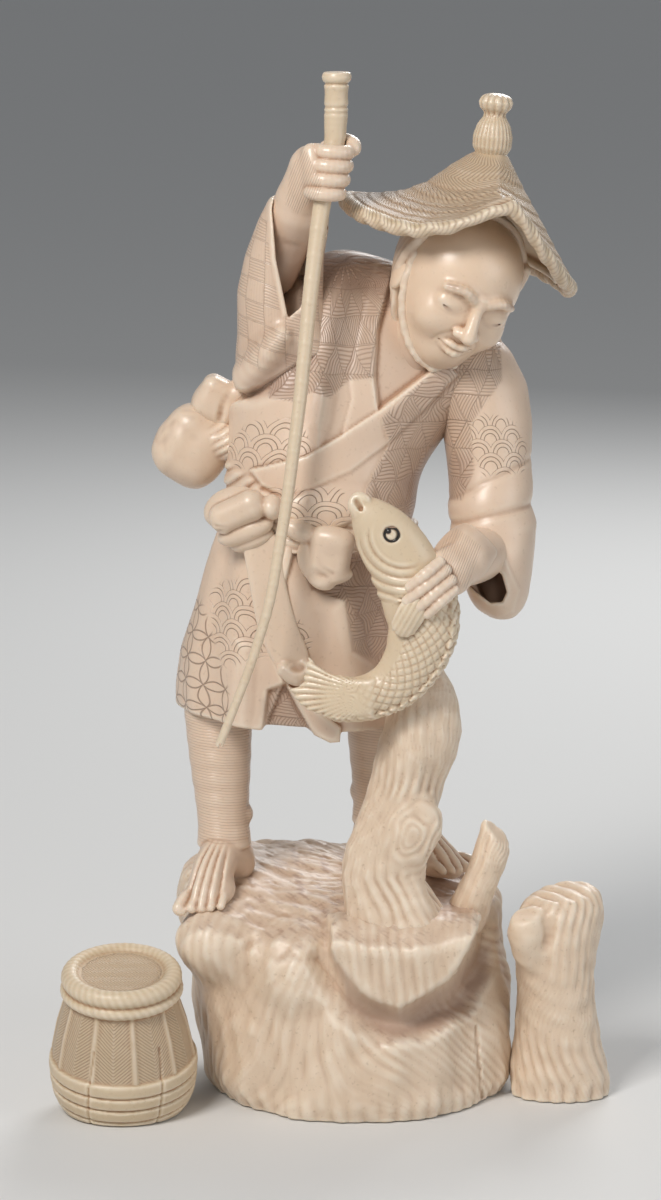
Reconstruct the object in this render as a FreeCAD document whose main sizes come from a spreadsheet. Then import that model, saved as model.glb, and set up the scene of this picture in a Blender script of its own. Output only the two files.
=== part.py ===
# Okimono carving of a fisherman on a carved stump, built up from separate carved pieces on dowels.
# Frame: millimetres, +Z up, +X to the viewer's right, -Y towards the viewer.
# The origin lies in the stump's flat underside, under the middle of the figure's stance.
import FreeCAD, Part
import math
import os

from FreeCAD import Placement, Rotation, Vector

doc = FreeCAD.newDocument("okimono")

# Driving dimensions: millimetres, degrees where the name ends in angle, whole numbers where it ends in count
SIZES = {
    "running_gap": 0.3,
    "standing_gap": 1.2,
    "dowel_width": 4.0,
    "dowel_length": 13.0,
    "fine_dowel_width": 2.4,
    "fine_dowel_length": 7.0,
    "base_width": 86.0,
    "base_depth": 81.0,
    "base_height": 56.0,
    "hollow_fall_angle": 40.0,
    "hollow_rise_angle": -31.0,
    "leg_height": 46.0,
    "knee_width": 18.4,
    "foot_length": 40.0,
    "foot_width": 15.6,
    "foot_height": 12.0,
    "toe_width": 4.0,
    "toe_count": 5.0,
    "skirt_height": 62.0,
    "skirt_width": 70.0,
    "skirt_depth": 48.0,
    "torso_height": 66.0,
    "torso_width": 63.0,
    "torso_depth": 47.0,
    "sash_height": 10.0,
    "sash_wall": 1.8,
    "bow_length": 16.0,
    "bow_height": 12.0,
    "bow_depth": 8.0,
    "tail_length": 44.0,
    "tail_width": 11.0,
    "tail_depth": 6.0,
    "left_sleeve_length": 56.0,
    "left_sleeve_width": 24.5,
    "left_mouth_drop": 24.0,
    "right_sleeve_length": 62.0,
    "right_sleeve_width": 22.0,
    "right_sleeve_depth": 24.0,
    "sleeve_slot_length": 40.0,
    "sleeve_slot_width": 11.0,
    "forearm_length": 30.0,
    "forearm_width": 11.0,
    "palm_height": 14.6,
    "palm_width": 13.0,
    "finger_length": 12.4,
    "finger_width": 3.7,
    "finger_count": 4.0,
    "head_width": 33.0,
    "head_depth": 36.0,
    "head_height": 39.0,
    "head_lean_angle": 22.0,
    "head_bow_angle": 14.0,
    "head_turn_angle": 24.0,
    "nose_length": 8.0,
    "ear_height": 10.0,
    "neck_width": 19.0,
    "scarf_wall": 1.5,
    "hat_width": 68.0,
    "hat_height": 26.0,
    "hat_lift": 16.0,
    "hat_wall": 2.6,
    "hat_lean_angle": 22.0,
    "tassel_width": 10.4,
    "tassel_height": 16.0,
    "tassel_flute_count": 9.0,
    "rod_length": 180.0,
    "rod_grip_width": 5.6,
    "fish_length": 62.0,
    "fish_width": 20.0,
    "fish_thickness": 11.0,
    "fish_tail_width": 19.0,
    "fish_fin_length": 15.0,
    "fish_eye_width": 4.0,
    "fish_eye_depth": 1.6,
    "pouch_width": 20.0,
    "pouch_depth": 16.0,
    "toggle_width": 13.0,
    "trunk_height": 68.0,
    "trunk_width": 20.4,
    "trunk_depth": 18.0,
    "knot_width": 15.0,
    "stub_height": 28.0,
    "stub_width": 15.0,
    "creel_height": 42.0,
    "creel_width": 39.0,
    "creel_lean_angle": 12.0,
    "creel_rib_count": 12.0,
    "log_height": 58.0,
    "log_width": 27.0,
    "log_depth": 24.0,
    "log_knob_width": 9.0,
}

FACETS = {"huge": 36, "large": 28, "medium": 20, "limb": 14, "small": 10, "tiny": 8}
BLOB_LATITUDES = (-72, -40, -13, 13, 40, 72)
FULL_TURN = 2 * math.pi
HALF = 0.5
UP = Vector(0, 0, 1)
AWAY = Vector(0, 1, 0)
RIGHT = Vector(1, 0, 0)


def write_sheet():
    """Puts every driving dimension in a spreadsheet cell that carries its name."""
    made = doc.addObject("Spreadsheet::Sheet", "Sizes")
    for row, (alias, value) in enumerate(SIZES.items(), start=1):
        made.set(f"A{row}", alias)
        made.set(f"B{row}", str(value))
        made.setAlias(f"B{row}", alias)
    doc.recompute()
    return made


sheet = write_sheet()


class Span:
    """A length made of shares of named sizes, read as a number or bound as an expression."""

    def __init__(self, shares):
        self.shares = shares

    def __add__(self, other):
        summed = dict(self.shares)
        for name, share in other.shares.items():
            summed[name] = summed.get(name, 0) + share
        return Span(summed)

    def __mul__(self, share):
        return Span({name: own * share for name, own in self.shares.items()})

    def __sub__(self, other):
        return self + other * -1

    def __float__(self):
        return float(sum(sheet.get(name) * share for name, share in self.shares.items()))

    def bound(self):
        return " + ".join(f"Sizes.{name} * ({share:.6f})" for name, share in self.shares.items())


def size(name, share=1):
    return Span({name: share})


def count(name):
    return int(round(float(size(name))))


def angle(name):
    return float(size(name))


class Place:
    """A point whose three coordinates are spans."""

    def __init__(self, across, away, up):
        self.spans = (across, away, up)

    def moved(self, across, away, up):
        x, y, z = self.spans
        return Place(x + across, y + away, z + up)

    def vector(self):
        return Vector(*(float(span) for span in self.spans))


def move_bound(made, place, rotation=Rotation()):
    """Turns an object by fixed angles and binds its position to the sheet."""
    made.Placement = Placement(Vector(), rotation)
    for axis, span in zip("xyz", place.spans):
        made.setExpression(f"Placement.Base.{axis}", span.bound())
    return made


def bound(kind, label, place, rotation=Rotation(), **spans):
    """A primitive whose sizes and position are bound to the sheet."""
    made = doc.addObject(kind, label)
    move_bound(made, place, rotation)
    for name, span in spans.items():
        made.setExpression(name, span.bound())
    return made


def blob(label, place, across, away, up, rotation=Rotation(), facets="small"):
    """A faceted ellipsoid given by its full widths."""
    wide, deep, high = float(across) * HALF, float(away) * HALF, float(up) * HALF
    axis = rotation.multVec(UP)
    rings = []
    for latitude in BLOB_LATITUDES:
        rise, reach = math.sin(math.radians(latitude)), math.cos(math.radians(latitude))
        rings.append(outline(place.vector() + axis * (rise * high), rotation.multVec(RIGHT),
                             rotation.multVec(AWAY), reach * wide, reach * deep, facets=facets))
    tip = axis * high
    return carved(label, skin(rings, place.vector() - tip, place.vector() + tip))


def dowel(label, place, axis, width="dowel_width", length="dowel_length"):
    """A round dowel, centred on its joint."""
    rotation = Rotation(UP, axis)
    start = place.vector() - axis.normalize() * float(size(length)) * HALF
    made = doc.addObject("Part::Cylinder", label)
    made.setExpression("Radius", size(width, HALF).bound())
    made.setExpression("Height", size(length).bound())
    made.Placement = Placement(start, rotation)
    return made


def fused(label, base, *others):
    """Joins the others to the base in turn; the last union carries the label."""
    for number, other in enumerate(others, start=1):
        last = number == len(others)
        made = doc.addObject("Part::Fuse", label if last else f"{label}_step")
        made.Base = base
        made.Tool = other
        made.Refine = False
        base = made
    return base


def cut(label, base, *tools):
    """Takes each tool from the base in turn; the last cut carries the label."""
    for number, tool in enumerate(tools, start=1):
        last = number == len(tools)
        made = doc.addObject("Part::Cut", label if last else f"{label}_step")
        made.Base = base
        made.Tool = tool
        made.Refine = False
        base = made
    return base


def carved(label, shape):
    """A free-form solid made by surfaces through the sheet's sizes."""
    made = doc.addObject("Part::Feature", label)
    made.Shape = shape
    return made


def named(made, label):
    made.Label = label
    return made


def outline(centre, across, along, reach_across, reach_along, folds=(), facets="medium"):
    """Points round a centre: an ellipse whose radius swells by folds (count, share, turn share)."""
    points = []
    steps = FACETS[facets]
    for step in range(steps):
        turn = FULL_TURN * step / steps
        swell = 1 + sum(share * math.cos(number * turn + FULL_TURN * shift) for number, share, shift in folds)
        side = across * (reach_across * math.cos(turn) * swell)
        front = along * (reach_along * math.sin(turn) * swell)
        points.append(centre + side + front)
    return points


def facet(*corners):
    return Part.Face(Part.makePolygon([*corners, corners[0]]))


def middle_of(ring):
    total = Vector()
    for point in ring:
        total = total + point
    return total * (1 / len(ring))


def skin(rings, first_tip=None, last_tip=None):
    """A closed solid of flat facets through rings of equal point counts, closed to a point at both ends."""
    faces = []
    for low, high in zip(rings, rings[1:]):
        for i, corner in enumerate(low):
            j = (i + 1) % len(low)
            faces.append(facet(corner, low[j], high[j]))
            faces.append(facet(corner, high[j], high[i]))
    for ring, tip in ((rings[0], first_tip), (rings[-1], last_tip)):
        end = tip or middle_of(ring)
        faces += [facet(point, ring[(i + 1) % len(ring)], end) for i, point in enumerate(ring)]
    shell = Part.makeShell(faces)
    shell.sewShape()
    solid = Part.Solid(shell)
    if solid.Volume < 0:
        solid.reverse()
    return solid


def tangents(points):
    """The direction of a path at each of its points."""
    last = len(points) - 1
    return [(points[min(i + 1, last)] - points[max(i - 1, 0)]).normalize() for i in range(last + 1)]


def upright_skin(label, place, rows, across, away, up, folds=(), facets="medium"):
    """A solid through level outlines: rows of rise, shift across, shift away, half width, half depth."""
    rings = []
    width, depth, height = float(across), float(away), float(up)
    for rise, shift_x, shift_y, half_x, half_y in rows:
        centre = place.vector() + Vector(shift_x * width, shift_y * depth, rise * height)
        rings.append(outline(centre, RIGHT, AWAY, half_x * width, half_y * depth, folds, facets))
    return carved(label, skin(rings))


def limb(label, place, rows, length, width, depth, side=AWAY, facets="limb"):
    """A solid through ellipses square to a path: rows of three path shares and two half-width shares."""
    reach, wide_size, deep_size = float(length), float(width), float(depth)
    points = [place.vector() + Vector(x, y, z) * reach for x, y, z, _, _ in rows]
    rings = []
    for (_, _, _, half_wide, half_deep), point, direction in zip(rows, points, tangents(points)):
        wide = side.cross(direction).normalize()
        deep = direction.cross(wide)
        rings.append(outline(point, wide, deep, half_wide * wide_size, half_deep * deep_size, facets=facets))
    return carved(label, skin(rings))


# Places that the pieces hang from, each in shares of the piece that carries it
origin = Place(Span({}), Span({}), Span({}))
hem = Place(size("base_width", -0.128), size("base_depth", 0.012), size("base_height") + size("leg_height"))
waist = hem.moved(size("skirt_width", 0.064), size("skirt_depth", -0.0625), size("skirt_height"))
right_shoulder = waist.moved(size("torso_width", -0.16), size("torso_depth", -0.02), size("torso_height", 0.38))
left_shoulder = waist.moved(size("torso_width", 0.58), size("torso_depth", 0.106), size("torso_height", 0.62))
head_centre = waist.moved(size("torso_width", 0.571), size("torso_depth", -0.17), size("torso_height", 0.89))
hat_centre = head_centre.moved(size("head_width", 0.01), size("head_depth", 0.22), size("head_height", 0.25))
fist = right_shoulder.moved(size("right_sleeve_width", 0.5), size("right_sleeve_depth", -0.71),
                            size("right_sleeve_length", 1.09))
fish_place = waist.moved(size("torso_width", 0.46), size("torso_depth", -0.75), size("torso_height", -0.42))


# Stump: a tusk section whose sides flare to the top, under a hollowed and mounded top surface
BASE_SHARES = (
    (0.00, 0.046, -0.055, 0.465, 0.480),
    (0.05, 0.046, -0.055, 0.494, 0.505),
    (0.25, 0.029, -0.043, 0.506, 0.506),
    (0.50, 0.009, -0.030, 0.514, 0.500),
    (0.75, -0.009, -0.018, 0.521, 0.494),
    (0.84, -0.015, -0.010, 0.523, 0.490),
)
GROUND_RING_SHARES = (0.985, 0.93, 0.80, 0.62, 0.42, 0.20)
BASE_FOLDS = ((3, 0.012, 0.1), (5, 0.014, 0.3), (8, 0.008, 0.0))
GROUND_ACROSS_SHARES = (-0.60, -0.37, -0.16, 0.05, 0.27, 0.60)
GROUND_AWAY_SHARES = (-0.60, -0.33, -0.12, 0.08, 0.27, 0.60)
GROUND_RISE_SHARES = (
    (0.86, 0.87, 0.88, 0.88, 0.84, 0.80),
    (0.94, 0.94, 0.93, 0.93, 0.92, 0.86),
    (1.04, 1.05, 1.00, 0.97, 0.94, 0.90),
    (1.08, 1.12, 1.05, 1.01, 1.00, 0.94),
    (1.06, 1.09, 1.07, 1.04, 1.04, 0.99),
    (0.98, 1.02, 1.03, 1.02, 1.03, 0.96),
)


def table_between(shares, value):
    """The table's interval that holds a value, and how far along it the value lies."""
    for index in range(len(shares) - 1):
        if value <= shares[index + 1] or index == len(shares) - 2:
            part = (value - shares[index]) / (shares[index + 1] - shares[index])
            return index, max(0.0, min(1.0, part))


def ground_level(across, away):
    """Height of the stump's top at a place: ridges at the back, a seat for the heel, a slope to the toes."""
    column, along = table_between(GROUND_ACROSS_SHARES, across / float(size("base_width")))
    row, deep = table_between(GROUND_AWAY_SHARES, away / float(size("base_depth")))
    near, far = GROUND_RISE_SHARES[row], GROUND_RISE_SHARES[row + 1]
    front = near[column] + (near[column + 1] - near[column]) * along
    back = far[column] + (far[column + 1] - far[column]) * along
    return (front + (back - front) * deep) * float(size("base_height"))


LEDGE_SHARES = (
    (0.55, 0.18, -0.46, 0.060, 0.045),
    (0.66, 0.20, -0.46, 0.150, 0.085),
    (0.76, 0.20, -0.44, 0.215, 0.115),
    (0.88, 0.19, -0.38, 0.225, 0.130),
    (1.00, 0.17, -0.31, 0.190, 0.120),
)
TOE_LEDGE_SHARES = (
    (0.55, -0.38, -0.32, 0.060, 0.060),
    (0.78, -0.41, -0.37, 0.105, 0.095),
    (0.96, -0.43, -0.39, 0.115, 0.110),
)
HOLLOW_SHARES = (
    (0.08, -0.56, 0.58, 0.37, 0.15, 0.20),
    (0.31, -0.47, 0.59, 0.36, 0.15, 0.20),
    (-0.27, -0.455, 0.60, 0.16, 0.12, 0.30),
)
HOLLOW_TURNS = ("hollow_fall_angle", "hollow_rise_angle", None)


def stump_blank():
    """Sides and top in one skin, hollowed under the ledge: the top rings shrink inwards and follow the ground."""
    wide, deep = float(size("base_width")), float(size("base_depth"))
    high = float(size("base_height"))
    rings = []
    for rise, shift_x, shift_y, half_x, half_y in BASE_SHARES:
        centre = Vector(shift_x * wide, shift_y * deep, rise * high)
        rings.append(outline(centre, RIGHT, AWAY, half_x * wide, half_y * deep, BASE_FOLDS, "huge"))
    for share in GROUND_RING_SHARES:
        level = outline(centre, RIGHT, AWAY, half_x * wide * share, half_y * deep * share, BASE_FOLDS, "huge")
        rings.append([Vector(point.x, point.y, ground_level(point.x, point.y)) for point in level])
    column = carved("stump_column", skin(rings))
    spans = (size("base_width"), size("base_depth"), size("base_height"))
    hollows = []
    for (x, y, z, across, away, up), turn in zip(HOLLOW_SHARES, HOLLOW_TURNS):
        spin = Rotation(AWAY, angle(turn)) if turn else Rotation()
        middle = origin.moved(*(span * share for span, share in zip(spans, (x, y, z))))
        hollows.append(blob("hollow", middle, *(span * share for span, share in zip(spans, (across, away, up))), spin))
    hollowed = cut("hollowed_column", column, *hollows)
    ledge = upright_skin("root_ledge", origin, LEDGE_SHARES, *spans)
    toe_ledge = upright_skin("toe_ledge", origin, TOE_LEDGE_SHARES, *spans, facets="small")
    return fused("stump_blank", hollowed, ledge, toe_ledge)


# Tree: a leaning broken trunk with an oval knot, and a short branch beside it
TRUNK_SHARES = (
    (0.00, 0.00, 0.00, 0.72, 0.70),
    (0.10, -0.01, 0.00, 0.67, 0.64),
    (0.24, -0.06, 0.00, 0.57, 0.57),
    (0.40, 0.03, 0.00, 0.56, 0.55),
    (0.61, 0.23, 0.00, 0.50, 0.50),
    (0.77, 0.34, -0.04, 0.49, 0.50),
    (0.88, 0.41, -0.10, 0.47, 0.47),
    (0.95, 0.42, -0.10, 0.39, 0.40),
    (1.00, 0.45, -0.08, 0.20, 0.22),
)
TRUNK_FOLDS = ((2, 0.03, 0.1), (3, 0.03, 0.2), (7, 0.025, 0.0))
STUB_SHARES = (
    (0.00, 0.00, 0.00, 0.55, 0.42),
    (0.22, 0.00, 0.00, 0.49, 0.38),
    (0.50, 0.15, 0.00, 0.38, 0.32),
    (0.75, 0.30, 0.00, 0.31, 0.28),
    (0.93, 0.27, 0.00, 0.20, 0.20),
    (1.00, 0.23, 0.00, 0.09, 0.10),
)
trunk_foot = origin.moved(size("base_width", 0.15), size("base_depth", -0.30), size("base_height", 0.86))
stub_foot = origin.moved(size("base_width", 0.41), size("base_depth", -0.25), size("base_height", 0.90))
KNOT_SHARES = ((0.55, 0.50), (0.05, 0.52), (-0.10, 0.44), (-0.06, 0.32), (-0.14, 0.24), (-0.12, 0.08))
KNOT_OVAL_SHARE = 1.25
knot_place = trunk_foot.moved(size("trunk_width", 0.25), size("trunk_depth", -0.46), size("trunk_height", 0.44))


def trunk_blank():
    stem = upright_skin("trunk_stem", trunk_foot, TRUNK_SHARES, size("trunk_width"), size("trunk_depth"),
                        size("trunk_height"), TRUNK_FOLDS)
    rings = []
    for out, half in KNOT_SHARES:
        centre = knot_place.vector() + AWAY * (out * float(size("knot_width")))
        width = half * float(size("knot_width"))
        rings.append(outline(centre, RIGHT, UP, width, width * KNOT_OVAL_SHARE, facets="limb"))
    return fused("trunk_blank", stem, carved("knot", skin(rings)))


# Legs: bound calf with a hem over the ankle, a sloping bare foot and five toes
CALF_SHARES = (
    (0.20, 0.02, 0.02, 0.33, 0.36),
    (0.34, 0.01, -0.02, 0.34, 0.36),
    (0.38, 0.00, -0.02, 0.375, 0.39),
    (0.48, 0.00, 0.00, 0.385, 0.40),
    (0.70, 0.00, 0.02, 0.45, 0.47),
    (0.92, 0.02, 0.03, 0.50, 0.52),
    (1.12, 0.03, 0.03, 0.49, 0.51),
)
FOOT_SHARES = (
    (0.00, 0.00, 0.02, 0.22, 0.20),
    (0.05, 0.00, 0.02, 0.38, 0.48),
    (0.25, 0.00, 0.10, 0.44, 0.56),
    (0.50, 0.00, 0.06, 0.43, 0.44),
    (0.74, 0.00, 0.00, 0.50, 0.34),
    (0.92, 0.00, -0.02, 0.47, 0.26),
    (1.00, 0.00, -0.03, 0.36, 0.16),
)


def leg_blank(label, top, heading, slope, foot_start):
    """A calf under the hem, and a foot that runs along its heading down a slope (both in degrees)."""
    calf = upright_skin(f"{label}_calf", top.moved(Span({}), Span({}), size("leg_height", -1)), CALF_SHARES,
                        size("knee_width"), size("knee_width"), size("leg_height"), facets="limb")
    run = Vector(math.sin(math.radians(heading)), -math.cos(math.radians(heading)), -math.sin(math.radians(slope)))
    length = size("foot_length")
    rows = [(run.x * along, run.y * along, run.z * along + rise * float(size("foot_height") * (1 / float(length))),
             wide, tall) for along, _, rise, wide, tall in FOOT_SHARES]
    level = UP.cross(run).normalize()
    side = run.cross(level).normalize() * -1
    foot = limb(f"{label}_foot", foot_start, rows, length, size("foot_width"), size("foot_height"), side,
                "small")
    pieces = [calf, foot]
    toes = count("toe_count")
    spread = Rotation(AWAY * -1, Vector(run.x, run.y, run.z))
    for number in range(toes):
        offset = (number - (toes - 1) * HALF) / toes
        bend = 0.97 - 0.05 * abs(number - 1)
        place = foot_start.moved(length * (run.x * bend) + size("foot_width", level.x * offset),
                                 length * (run.y * bend) + size("foot_width", level.y * offset),
                                 length * (run.z * bend))
        pieces.append(blob(f"{label}_toe", place, size("toe_width"), size("toe_width", 2.2),
                                size("toe_width", 0.95), spread, "tiny"))
    return fused(f"{label}_blank", *pieces)


right_knee = hem.moved(size("skirt_width", -0.348), size("skirt_depth", -0.09), Span({}))
left_knee = hem.moved(size("skirt_width", 0.272), size("skirt_depth", 0.27), Span({}))
right_heel = right_knee.moved(size("knee_width", 0.12), size("knee_width", 0.36), size("leg_height", -0.75))
left_heel = left_knee.moved(size("knee_width", -0.30), size("knee_width", 0.02), size("leg_height", -0.80))
RIGHT_FOOT_TURN = (-9, 17)
LEFT_FOOT_TURN = (64, 8)

# Robe: a flared skirt with soft folds, a full body, and a flat sash over their joint
SKIRT_SHARES = (
    (0.00, 0.000, 0.000, 0.497, 0.490),
    (0.12, -0.004, 0.000, 0.497, 0.488),
    (0.28, 0.006, 0.000, 0.489, 0.485),
    (0.46, 0.031, -0.02, 0.469, 0.478),
    (0.73, 0.045, -0.05, 0.440, 0.470),
    (0.92, 0.062, -0.06, 0.385, 0.452),
    (1.00, 0.064, -0.06, 0.366, 0.445),
)
SKIRT_FOLDS = ((4, 0.010, 0.15), (7, 0.014, 0.0))
TORSO_SHARES = (
    (0.00, 0.008, 0.000, 0.400, 0.455),
    (0.10, 0.045, -0.020, 0.445, 0.490),
    (0.24, 0.095, -0.010, 0.500, 0.490),
    (0.39, 0.165, 0.010, 0.500, 0.485),
    (0.54, 0.230, 0.020, 0.490, 0.465),
    (0.67, 0.238, 0.045, 0.437, 0.440),
    (0.79, 0.190, 0.090, 0.335, 0.385),
    (0.91, 0.130, 0.130, 0.230, 0.300),
    (0.98, 0.105, 0.150, 0.130, 0.180),
)
SASH_SHARES = ((-0.55, 1.045), (-0.25, 1.085), (0.25, 1.075), (0.55, 1.02))


def sash_blank():
    """A band round the waist: level outlines that stand one wall proud of the robe."""
    rings = []
    for rise, swell in SASH_SHARES:
        centre = waist.vector() + UP * (rise * float(size("sash_height")))
        wall = float(size("sash_wall")) * HALF
        half_x = float(size("skirt_width", 0.372 * swell)) + wall
        half_y = float(size("skirt_depth", 0.452 * swell)) + wall
        rings.append(outline(centre, RIGHT, AWAY, half_x, half_y, facets="large"))
    return carved("sash_blank", skin(rings))


def knot_bow(label, place, tip):
    """A soft knotted loop: two swollen lobes and the band between them."""
    length, height, depth = size("bow_length"), size("bow_height"), size("bow_depth")
    turned = Rotation(AWAY, tip)
    run = turned.multVec(RIGHT)
    pieces = []
    for side, swell in ((-0.24, 0.95), (0.26, 1.0)):
        spot = place.moved(length * (run.x * side), length * (run.y * side), length * (run.z * side))
        pieces.append(blob(f"{label}_lobe", spot, length * 0.56, depth * swell, height * swell, turned))
    pieces.append(blob(f"{label}_middle", place, length * 0.34, depth * 0.9, height * 0.72, turned))
    return fused(f"{label}_blank", *pieces)


right_bow_place = waist.moved(size("skirt_width", -0.295), size("skirt_depth", -0.50), size("sash_height", -0.25))
left_bow_place = waist.moved(size("skirt_width", 0.02), size("skirt_depth", -0.60), size("sash_height", -1.25))
TAIL_SHARES = (
    (0.00, 0.00, 0.00, 0.38, 0.50),
    (0.05, 0.00, -0.25, 0.48, 0.50),
    (0.10, -0.02, -0.55, 0.50, 0.50),
    (0.18, -0.02, -0.82, 0.48, 0.50),
    (0.22, -0.02, -1.00, 0.40, 0.40),
)
tail_place = waist.moved(size("skirt_width", -0.245), size("skirt_depth", -0.475), size("sash_height", -0.8))

# Raised right arm: a wide sleeve open along its front, and a forearm and fist that rise out of it
RIGHT_SLEEVE_SHARES = (
    (0.00, 0.02, 0.02, 0.40, 0.42),
    (0.12, -0.07, 0.02, 0.49, 0.49),
    (0.28, -0.07, 0.00, 0.49, 0.50),
    (0.53, -0.09, -0.05, 0.485, 0.48),
    (0.78, 0.03, -0.11, 0.39, 0.40),
    (0.92, 0.05, -0.17, 0.29, 0.30),
    (1.00, 0.09, -0.20, 0.16, 0.18),
)
RIGHT_FOREARM_SHARES = (
    (-0.12, 0.50, -1.00, 0.46, 0.46),
    (-0.13, 0.32, -0.72, 0.50, 0.50),
    (-0.10, 0.16, -0.45, 0.46, 0.46),
    (-0.05, 0.06, -0.22, 0.43, 0.43),
    (0.10, -0.06, 0.12, 0.43, 0.43),
)
slot_place = right_shoulder.moved(size("right_sleeve_width", 0.22), size("right_sleeve_depth", -0.48),
                                  size("right_sleeve_length", 0.68))


def fist_blank():
    """Palm, forearm and ring cuff, with four stacked fingers and a thumb closed round the rod."""
    wrist = fist.moved(size("palm_width", -0.42), size("palm_width", 0.30), size("palm_height", -0.42))
    arm = limb("right_forearm", wrist, RIGHT_FOREARM_SHARES, size("forearm_length"), size("forearm_width"),
               size("forearm_width"), facets="small")
    palm = blob("right_palm", fist.moved(size("palm_width", -0.20), size("palm_width", 0.20), Span({})),
                     size("palm_width"), size("palm_width"), size("palm_height"))
    pieces = [arm, palm]
    fingers = count("finger_count")
    for number in range(fingers):
        rise = (number - (fingers - 1) * HALF) * 0.96
        spot = fist.moved(size("palm_width", 0.22), size("palm_width", -0.22), size("finger_width", rise))
        pieces.append(blob("right_finger", spot, size("finger_length"), size("finger_length", 0.82),
                           size("finger_width", 1.12), facets="tiny"))
    thumb = fist.moved(size("palm_width", 0.50), size("palm_width", 0.02), size("palm_height", 0.36))
    pieces.append(blob("right_thumb", thumb, size("finger_width", 1.8), size("finger_width", 2.2),
                       size("finger_width", 1.9), facets="tiny"))
    return fused("fist_blank", *pieces)


# Lowered left arm: a bent sleeve with a hanging mouth, and a hand laid over the fish
LEFT_SLEEVE_SHARES = (
    (-0.06, 0.02, 0.06, 0.40, 0.40),
    (0.02, 0.02, 0.02, 0.53, 0.53),
    (0.13, 0.00, -0.12, 0.55, 0.55),
    (0.20, -0.05, -0.36, 0.50, 0.50),
    (0.21, -0.12, -0.60, 0.47, 0.47),
    (0.18, -0.24, -0.80, 0.46, 0.46),
    (0.12, -0.37, -0.92, 0.40, 0.40),
    (0.07, -0.48, -0.97, 0.33, 0.33),
)
LEFT_MOUTH_SHARES = (
    (0.00, 0.00, 0.00, 0.40, 0.42),
    (-0.35, 0.04, -0.02, 0.37, 0.42),
    (-0.70, 0.11, -0.06, 0.28, 0.34),
    (-0.92, 0.13, -0.08, 0.17, 0.22),
    (-1.00, 0.13, -0.08, 0.08, 0.12),
)
left_mouth_place = left_shoulder.moved(size("left_sleeve_length", 0.20), size("left_sleeve_length", -0.22),
                                       size("left_sleeve_length", -0.80))
left_wrist = left_shoulder.moved(size("left_sleeve_length", 0.06), size("left_sleeve_length", -0.50),
                                 size("left_sleeve_length", -0.97))
LEFT_FOREARM_SHARES = (
    (0.22, 0.30, 0.10, 0.42, 0.42),
    (0.05, 0.08, 0.03, 0.50, 0.50),
    (-0.12, -0.20, -0.02, 0.50, 0.50),
    (-0.26, -0.42, -0.06, 0.46, 0.46),
)


def open_hand_blank():
    """Cuffed forearm, back of the hand and four fingers laid across the fish."""
    arm = limb("left_forearm", left_wrist, LEFT_FOREARM_SHARES, size("forearm_length"), size("forearm_width"),
               size("forearm_width"), facets="small")
    back_place = left_wrist.moved(size("forearm_length", -0.32), size("forearm_length", -0.52),
                                  size("forearm_length", -0.10))
    turned = Rotation(RIGHT, Vector(0.80, 0.34, 0.50))
    back = blob("left_hand_back", back_place, size("palm_width", 1.10), size("palm_width", 0.72),
                     size("palm_width", 1.05), turned)
    pieces = [arm, back]
    run = turned.multVec(RIGHT)
    step = turned.multVec(UP)
    fingers = count("finger_count")
    for number in range(fingers):
        rise = (number - (fingers - 1) * HALF) * 0.92
        reach = -0.60 - 0.05 * (number % 2)
        length = size("finger_length")
        spot = back_place.moved(length * (run.x * reach) + size("finger_width", step.x * rise),
                                length * (run.y * reach) + size("finger_width", step.y * rise - 0.55),
                                length * (run.z * reach) + size("finger_width", step.z * rise))
        pieces.append(blob("left_finger", spot, length * 1.15, size("finger_width", 1.25),
                           size("finger_width"), turned, "tiny"))
    return fused("open_hand_blank", *pieces)


# Head: bowed, leaning and turned towards the fish
head_turn = (Rotation(AWAY, angle("head_lean_angle")) * Rotation(UP, angle("head_turn_angle"))
             * Rotation(RIGHT, -angle("head_bow_angle")))
HEAD_SHARES = (
    (-0.50, -0.17, 0.12, 0.12),
    (-0.44, -0.15, 0.25, 0.24),
    (-0.30, -0.09, 0.36, 0.34),
    (-0.12, -0.03, 0.44, 0.43),
    (0.08, 0.00, 0.48, 0.49),
    (0.26, 0.01, 0.47, 0.49),
    (0.40, 0.02, 0.37, 0.40),
    (0.48, 0.03, 0.20, 0.22),
    (0.50, 0.03, 0.08, 0.09),
)
NECK_SHARES = (
    (0.62, -0.42, 0.55, 0.42, 0.42),
    (0.34, -0.10, 0.30, 0.46, 0.46),
    (0.00, 0.20, 0.00, 0.50, 0.50),
    (-0.26, 0.34, -0.30, 0.52, 0.52),
)


def head_rings(swell):
    """Outlines of the head square to its own axis, swollen by a length."""
    wide, deep, high = float(size("head_width")), float(size("head_depth")), float(size("head_height"))
    across, along, up = (head_turn.multVec(axis) for axis in (RIGHT, AWAY, UP))
    rings = []
    for rise, forward, half_x, half_y in HEAD_SHARES:
        centre = head_centre.vector() + up * (rise * (high + 2 * swell)) + along * (forward * deep)
        rings.append(outline(centre, across, along, half_x * wide + swell, half_y * deep + swell))
    return rings


def head_spot(across, away, up):
    """A place on the head given in shares of its three sizes along its own axes."""
    wide, deep, high = float(size("head_width")), float(size("head_depth")), float(size("head_height"))
    offset = head_turn.multVec(Vector(across * wide, away * deep, up * high))
    unit = high
    return head_centre.moved(size("head_height", offset.x / unit), size("head_height", offset.y / unit),
                             size("head_height", offset.z / unit))


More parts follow.
